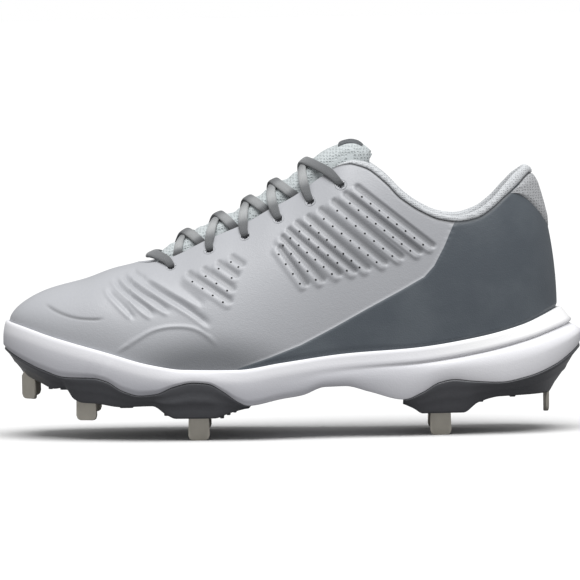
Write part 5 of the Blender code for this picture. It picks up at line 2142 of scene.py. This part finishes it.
@dataclass
class Spikes:
    """The nine steel blades with rounded, worn tips."""

    last: Last
    width: float = 11.0 * MM
    thickness: float = 2.0 * MM
    bow: float = 1.0 * MM
    root: float = 3.0 * MM
    root_width: float = 0.6
    root_start: float = 0.4 * MM
    corner: float = 2.6 * MM
    edge_round: float = 0.3 * MM
    sharp_angle: float = 0.7

    def blade(self) -> bmesh.types.BMesh:
        """A blade whose pod ends at zero height, bowed, with rounded lower corners and a narrow root.

        Returns:
            The new mesh.
        """
        drop = self.last.spike_drop
        bm = bmesh.new()
        bmesh.ops.create_cube(bm, size=1.0)
        bmesh.ops.scale(bm, vec=(self.width, self.thickness, drop + self.root), verts=bm.verts)
        bmesh.ops.translate(bm, vec=(0, 0, (self.root - drop) / 2), verts=bm.verts)
        wide = [e for e in bm.edges if abs((e.verts[0].co - e.verts[1].co).x) > self.width / 2]
        bmesh.ops.subdivide_edges(bm, edges=wide, cuts=19, use_grid_fill=True)
        for vert in bm.verts:
            share = 2 * vert.co.x / self.width
            vert.co.y += self.bow * (1 - share**2) - self.bow / 2
            past = max(abs(vert.co.x) - (self.width / 2 - self.corner), 0.0)
            if vert.co.z < 0:
                vert.co.z += self.corner - math.sqrt(max(self.corner**2 - past**2, 0.0))
        whole = [*bm.verts, *bm.edges, *bm.faces]
        bmesh.ops.bisect_plane(bm, geom=whole, plane_co=(0, 0, self.root_start), plane_no=(0, 0, 1))
        for vert in bm.verts:
            if vert.co.z > 1.0 * MM:
                vert.co.x *= self.root_width
        soften(bm, [e for e in bm.edges if e.calc_face_angle(0.0) > self.sharp_angle], self.edge_round)
        return bm

    def build(self, finish: Material) -> None:
        """One blade in each pod.

        Args:
            finish: the material of the piece.
        """
        last = self.last
        for name, along, across, turn, sink in SPIKES:
            x = last.sole_front + along * last.sole_length
            z = float(last.level("keel", x)) + sink * MM
            stand = Matrix.Translation((x, last.side_y(across), z))
            bm = self.blade()
            bm.transform(stand @ Matrix.Rotation(math.radians(turn), 4, "Z"))
            place(finished(name + "_blade", bm, 1e-7), finish, "steel", name)


@dataclass
class Studio:
    """A pale floor, soft lights and the camera at the photograph's angle."""

    roll: float = 0.94
    frame_width: float = 0.301
    sensor: float = 36.0
    aim: tuple[float, float, float] = (-0.0005, 0.0, 0.0744)
    sky_from: tuple[float, float, float] = (0.05, -0.38, 1.0)
    sky_strength: float = 3.2
    sky_spread: float = 50.0
    floor_lighting: Colour = (0.20, 0.20, 0.205)
    floor_seen: Colour = (0.86, 0.86, 0.86)
    world_lighting: Colour = (0.36, 0.36, 0.36)
    world_seen: Colour = (1.0, 1.0, 1.0)

    def build(self) -> None:
        """Floor, world, lights and camera."""
        self.build_floor()
        self.build_world()
        self.build_sky_light()
        self.build_camera()
        bpy.context.scene.view_settings.view_transform = "Standard"

    def build_floor(self) -> None:
        """A wide pale floor."""
        bm = bmesh.new()
        bmesh.ops.create_grid(bm, x_segments=1, y_segments=1, size=40.0)
        floor = finished("studio_floor", bm)
        shade = bpy.data.materials.new("pale_floor")
        shade.use_nodes = True
        shader = shade.node_tree.nodes["Principled BSDF"]
        shader.inputs["Roughness"].default_value = 0.9
        self.link_seen(shade.node_tree, self.floor_lighting, self.floor_seen, shader.inputs["Base Color"])
        floor.data.materials.append(shade)

    def build_world(self) -> None:
        """A plain white surround."""
        world = bpy.data.worlds.new("studio")
        world.use_nodes = True
        backdrop = world.node_tree.nodes["Background"]
        backdrop.inputs["Strength"].default_value = 1.0
        self.link_seen(world.node_tree, self.world_lighting, self.world_seen, backdrop.inputs["Color"])
        bpy.context.scene.world = world

    @staticmethod
    def link_seen(tree: Tree, lighting: Colour, seen: Colour, socket: Link) -> None:
        """Gives a surround one colour for the light that it throws and another for the camera.

        Args:
            tree: the node tree that the socket is in.
            lighting: the colour that lights the shoe.
            seen: the colour that the camera sees.
            socket: the colour socket to feed.
        """
        path = tree.nodes.new("ShaderNodeLightPath")
        colour = NodeSheet(tree).mix(path.outputs["Is Camera Ray"], (*lighting, 1.0), (*seen, 1.0))
        tree.links.new(colour, socket)

    def build_sky_light(self) -> None:
        """A wide soft light from above, even over the whole floor."""
        light = bpy.data.lights.new("ceiling", "SUN")
        light.energy = self.sky_strength
        light.angle = math.radians(self.sky_spread)
        holder = bpy.data.objects.new("ceiling", light)
        holder.rotation_euler = Vector(self.sky_from).to_track_quat("Z", "Y").to_euler()
        holder.location = Vector(self.sky_from).normalized() * 2.0
        bpy.context.scene.collection.objects.link(holder)

    def build_camera(self) -> None:
        """The long-lens camera, rolled as in the photograph."""
        lens = bpy.data.cameras.new("camera")
        lens.sensor_width = self.sensor
        lens.lens = self.sensor * CAMERA_DISTANCE / self.frame_width
        lens.clip_end = 50.0
        holder = bpy.data.objects.new("camera", lens)
        lift = math.radians(CAMERA_ELEVATION)
        back = Vector((0.0, -math.cos(lift), math.sin(lift))) * CAMERA_DISTANCE
        tilt = Matrix.Rotation(math.radians(90 - CAMERA_ELEVATION), 4, "X")
        roll = Matrix.Rotation(math.radians(-self.roll), 4, "Z")
        holder.matrix_world = Matrix.Translation(Vector(self.aim) + back) @ tilt @ roll
        bpy.context.scene.collection.objects.link(holder)
        bpy.context.scene.camera = holder


def main() -> None:
    """Builds the studio and then the shoe's pieces in order."""
    logging.basicConfig(level=logging.INFO, format="%(message)s")
    low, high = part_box("spike_heel_rear")
    last = Last(middle_y=(low[1] + high[1]) / 2)
    groups = Groups()
    Studio().build()
    upper = Upper(last, Relief())
    upper.build_shell(SKIN.build(groups))
    upper.build_eyelets(RING.build(groups))
    upper.build_pinholes(HOLE_SHADE.build(groups))
    upper.build_lining(LINING.build(groups))
    upper.build_heel_tab(KNIT.build(groups))
    Tongue(last).build(SPACER.build(groups), BINDING.build(groups))
    Lacing(last).build(CORD.build(groups))
    Sockliner(last).build(SOCK.build(groups))
    Midsole(last).build(FOAM.build(groups))
    Plates(last).build(PLATE.build(groups))
    Spikes(last).build(STEEL.build(groups))


if __name__ == "__main__":
    main()
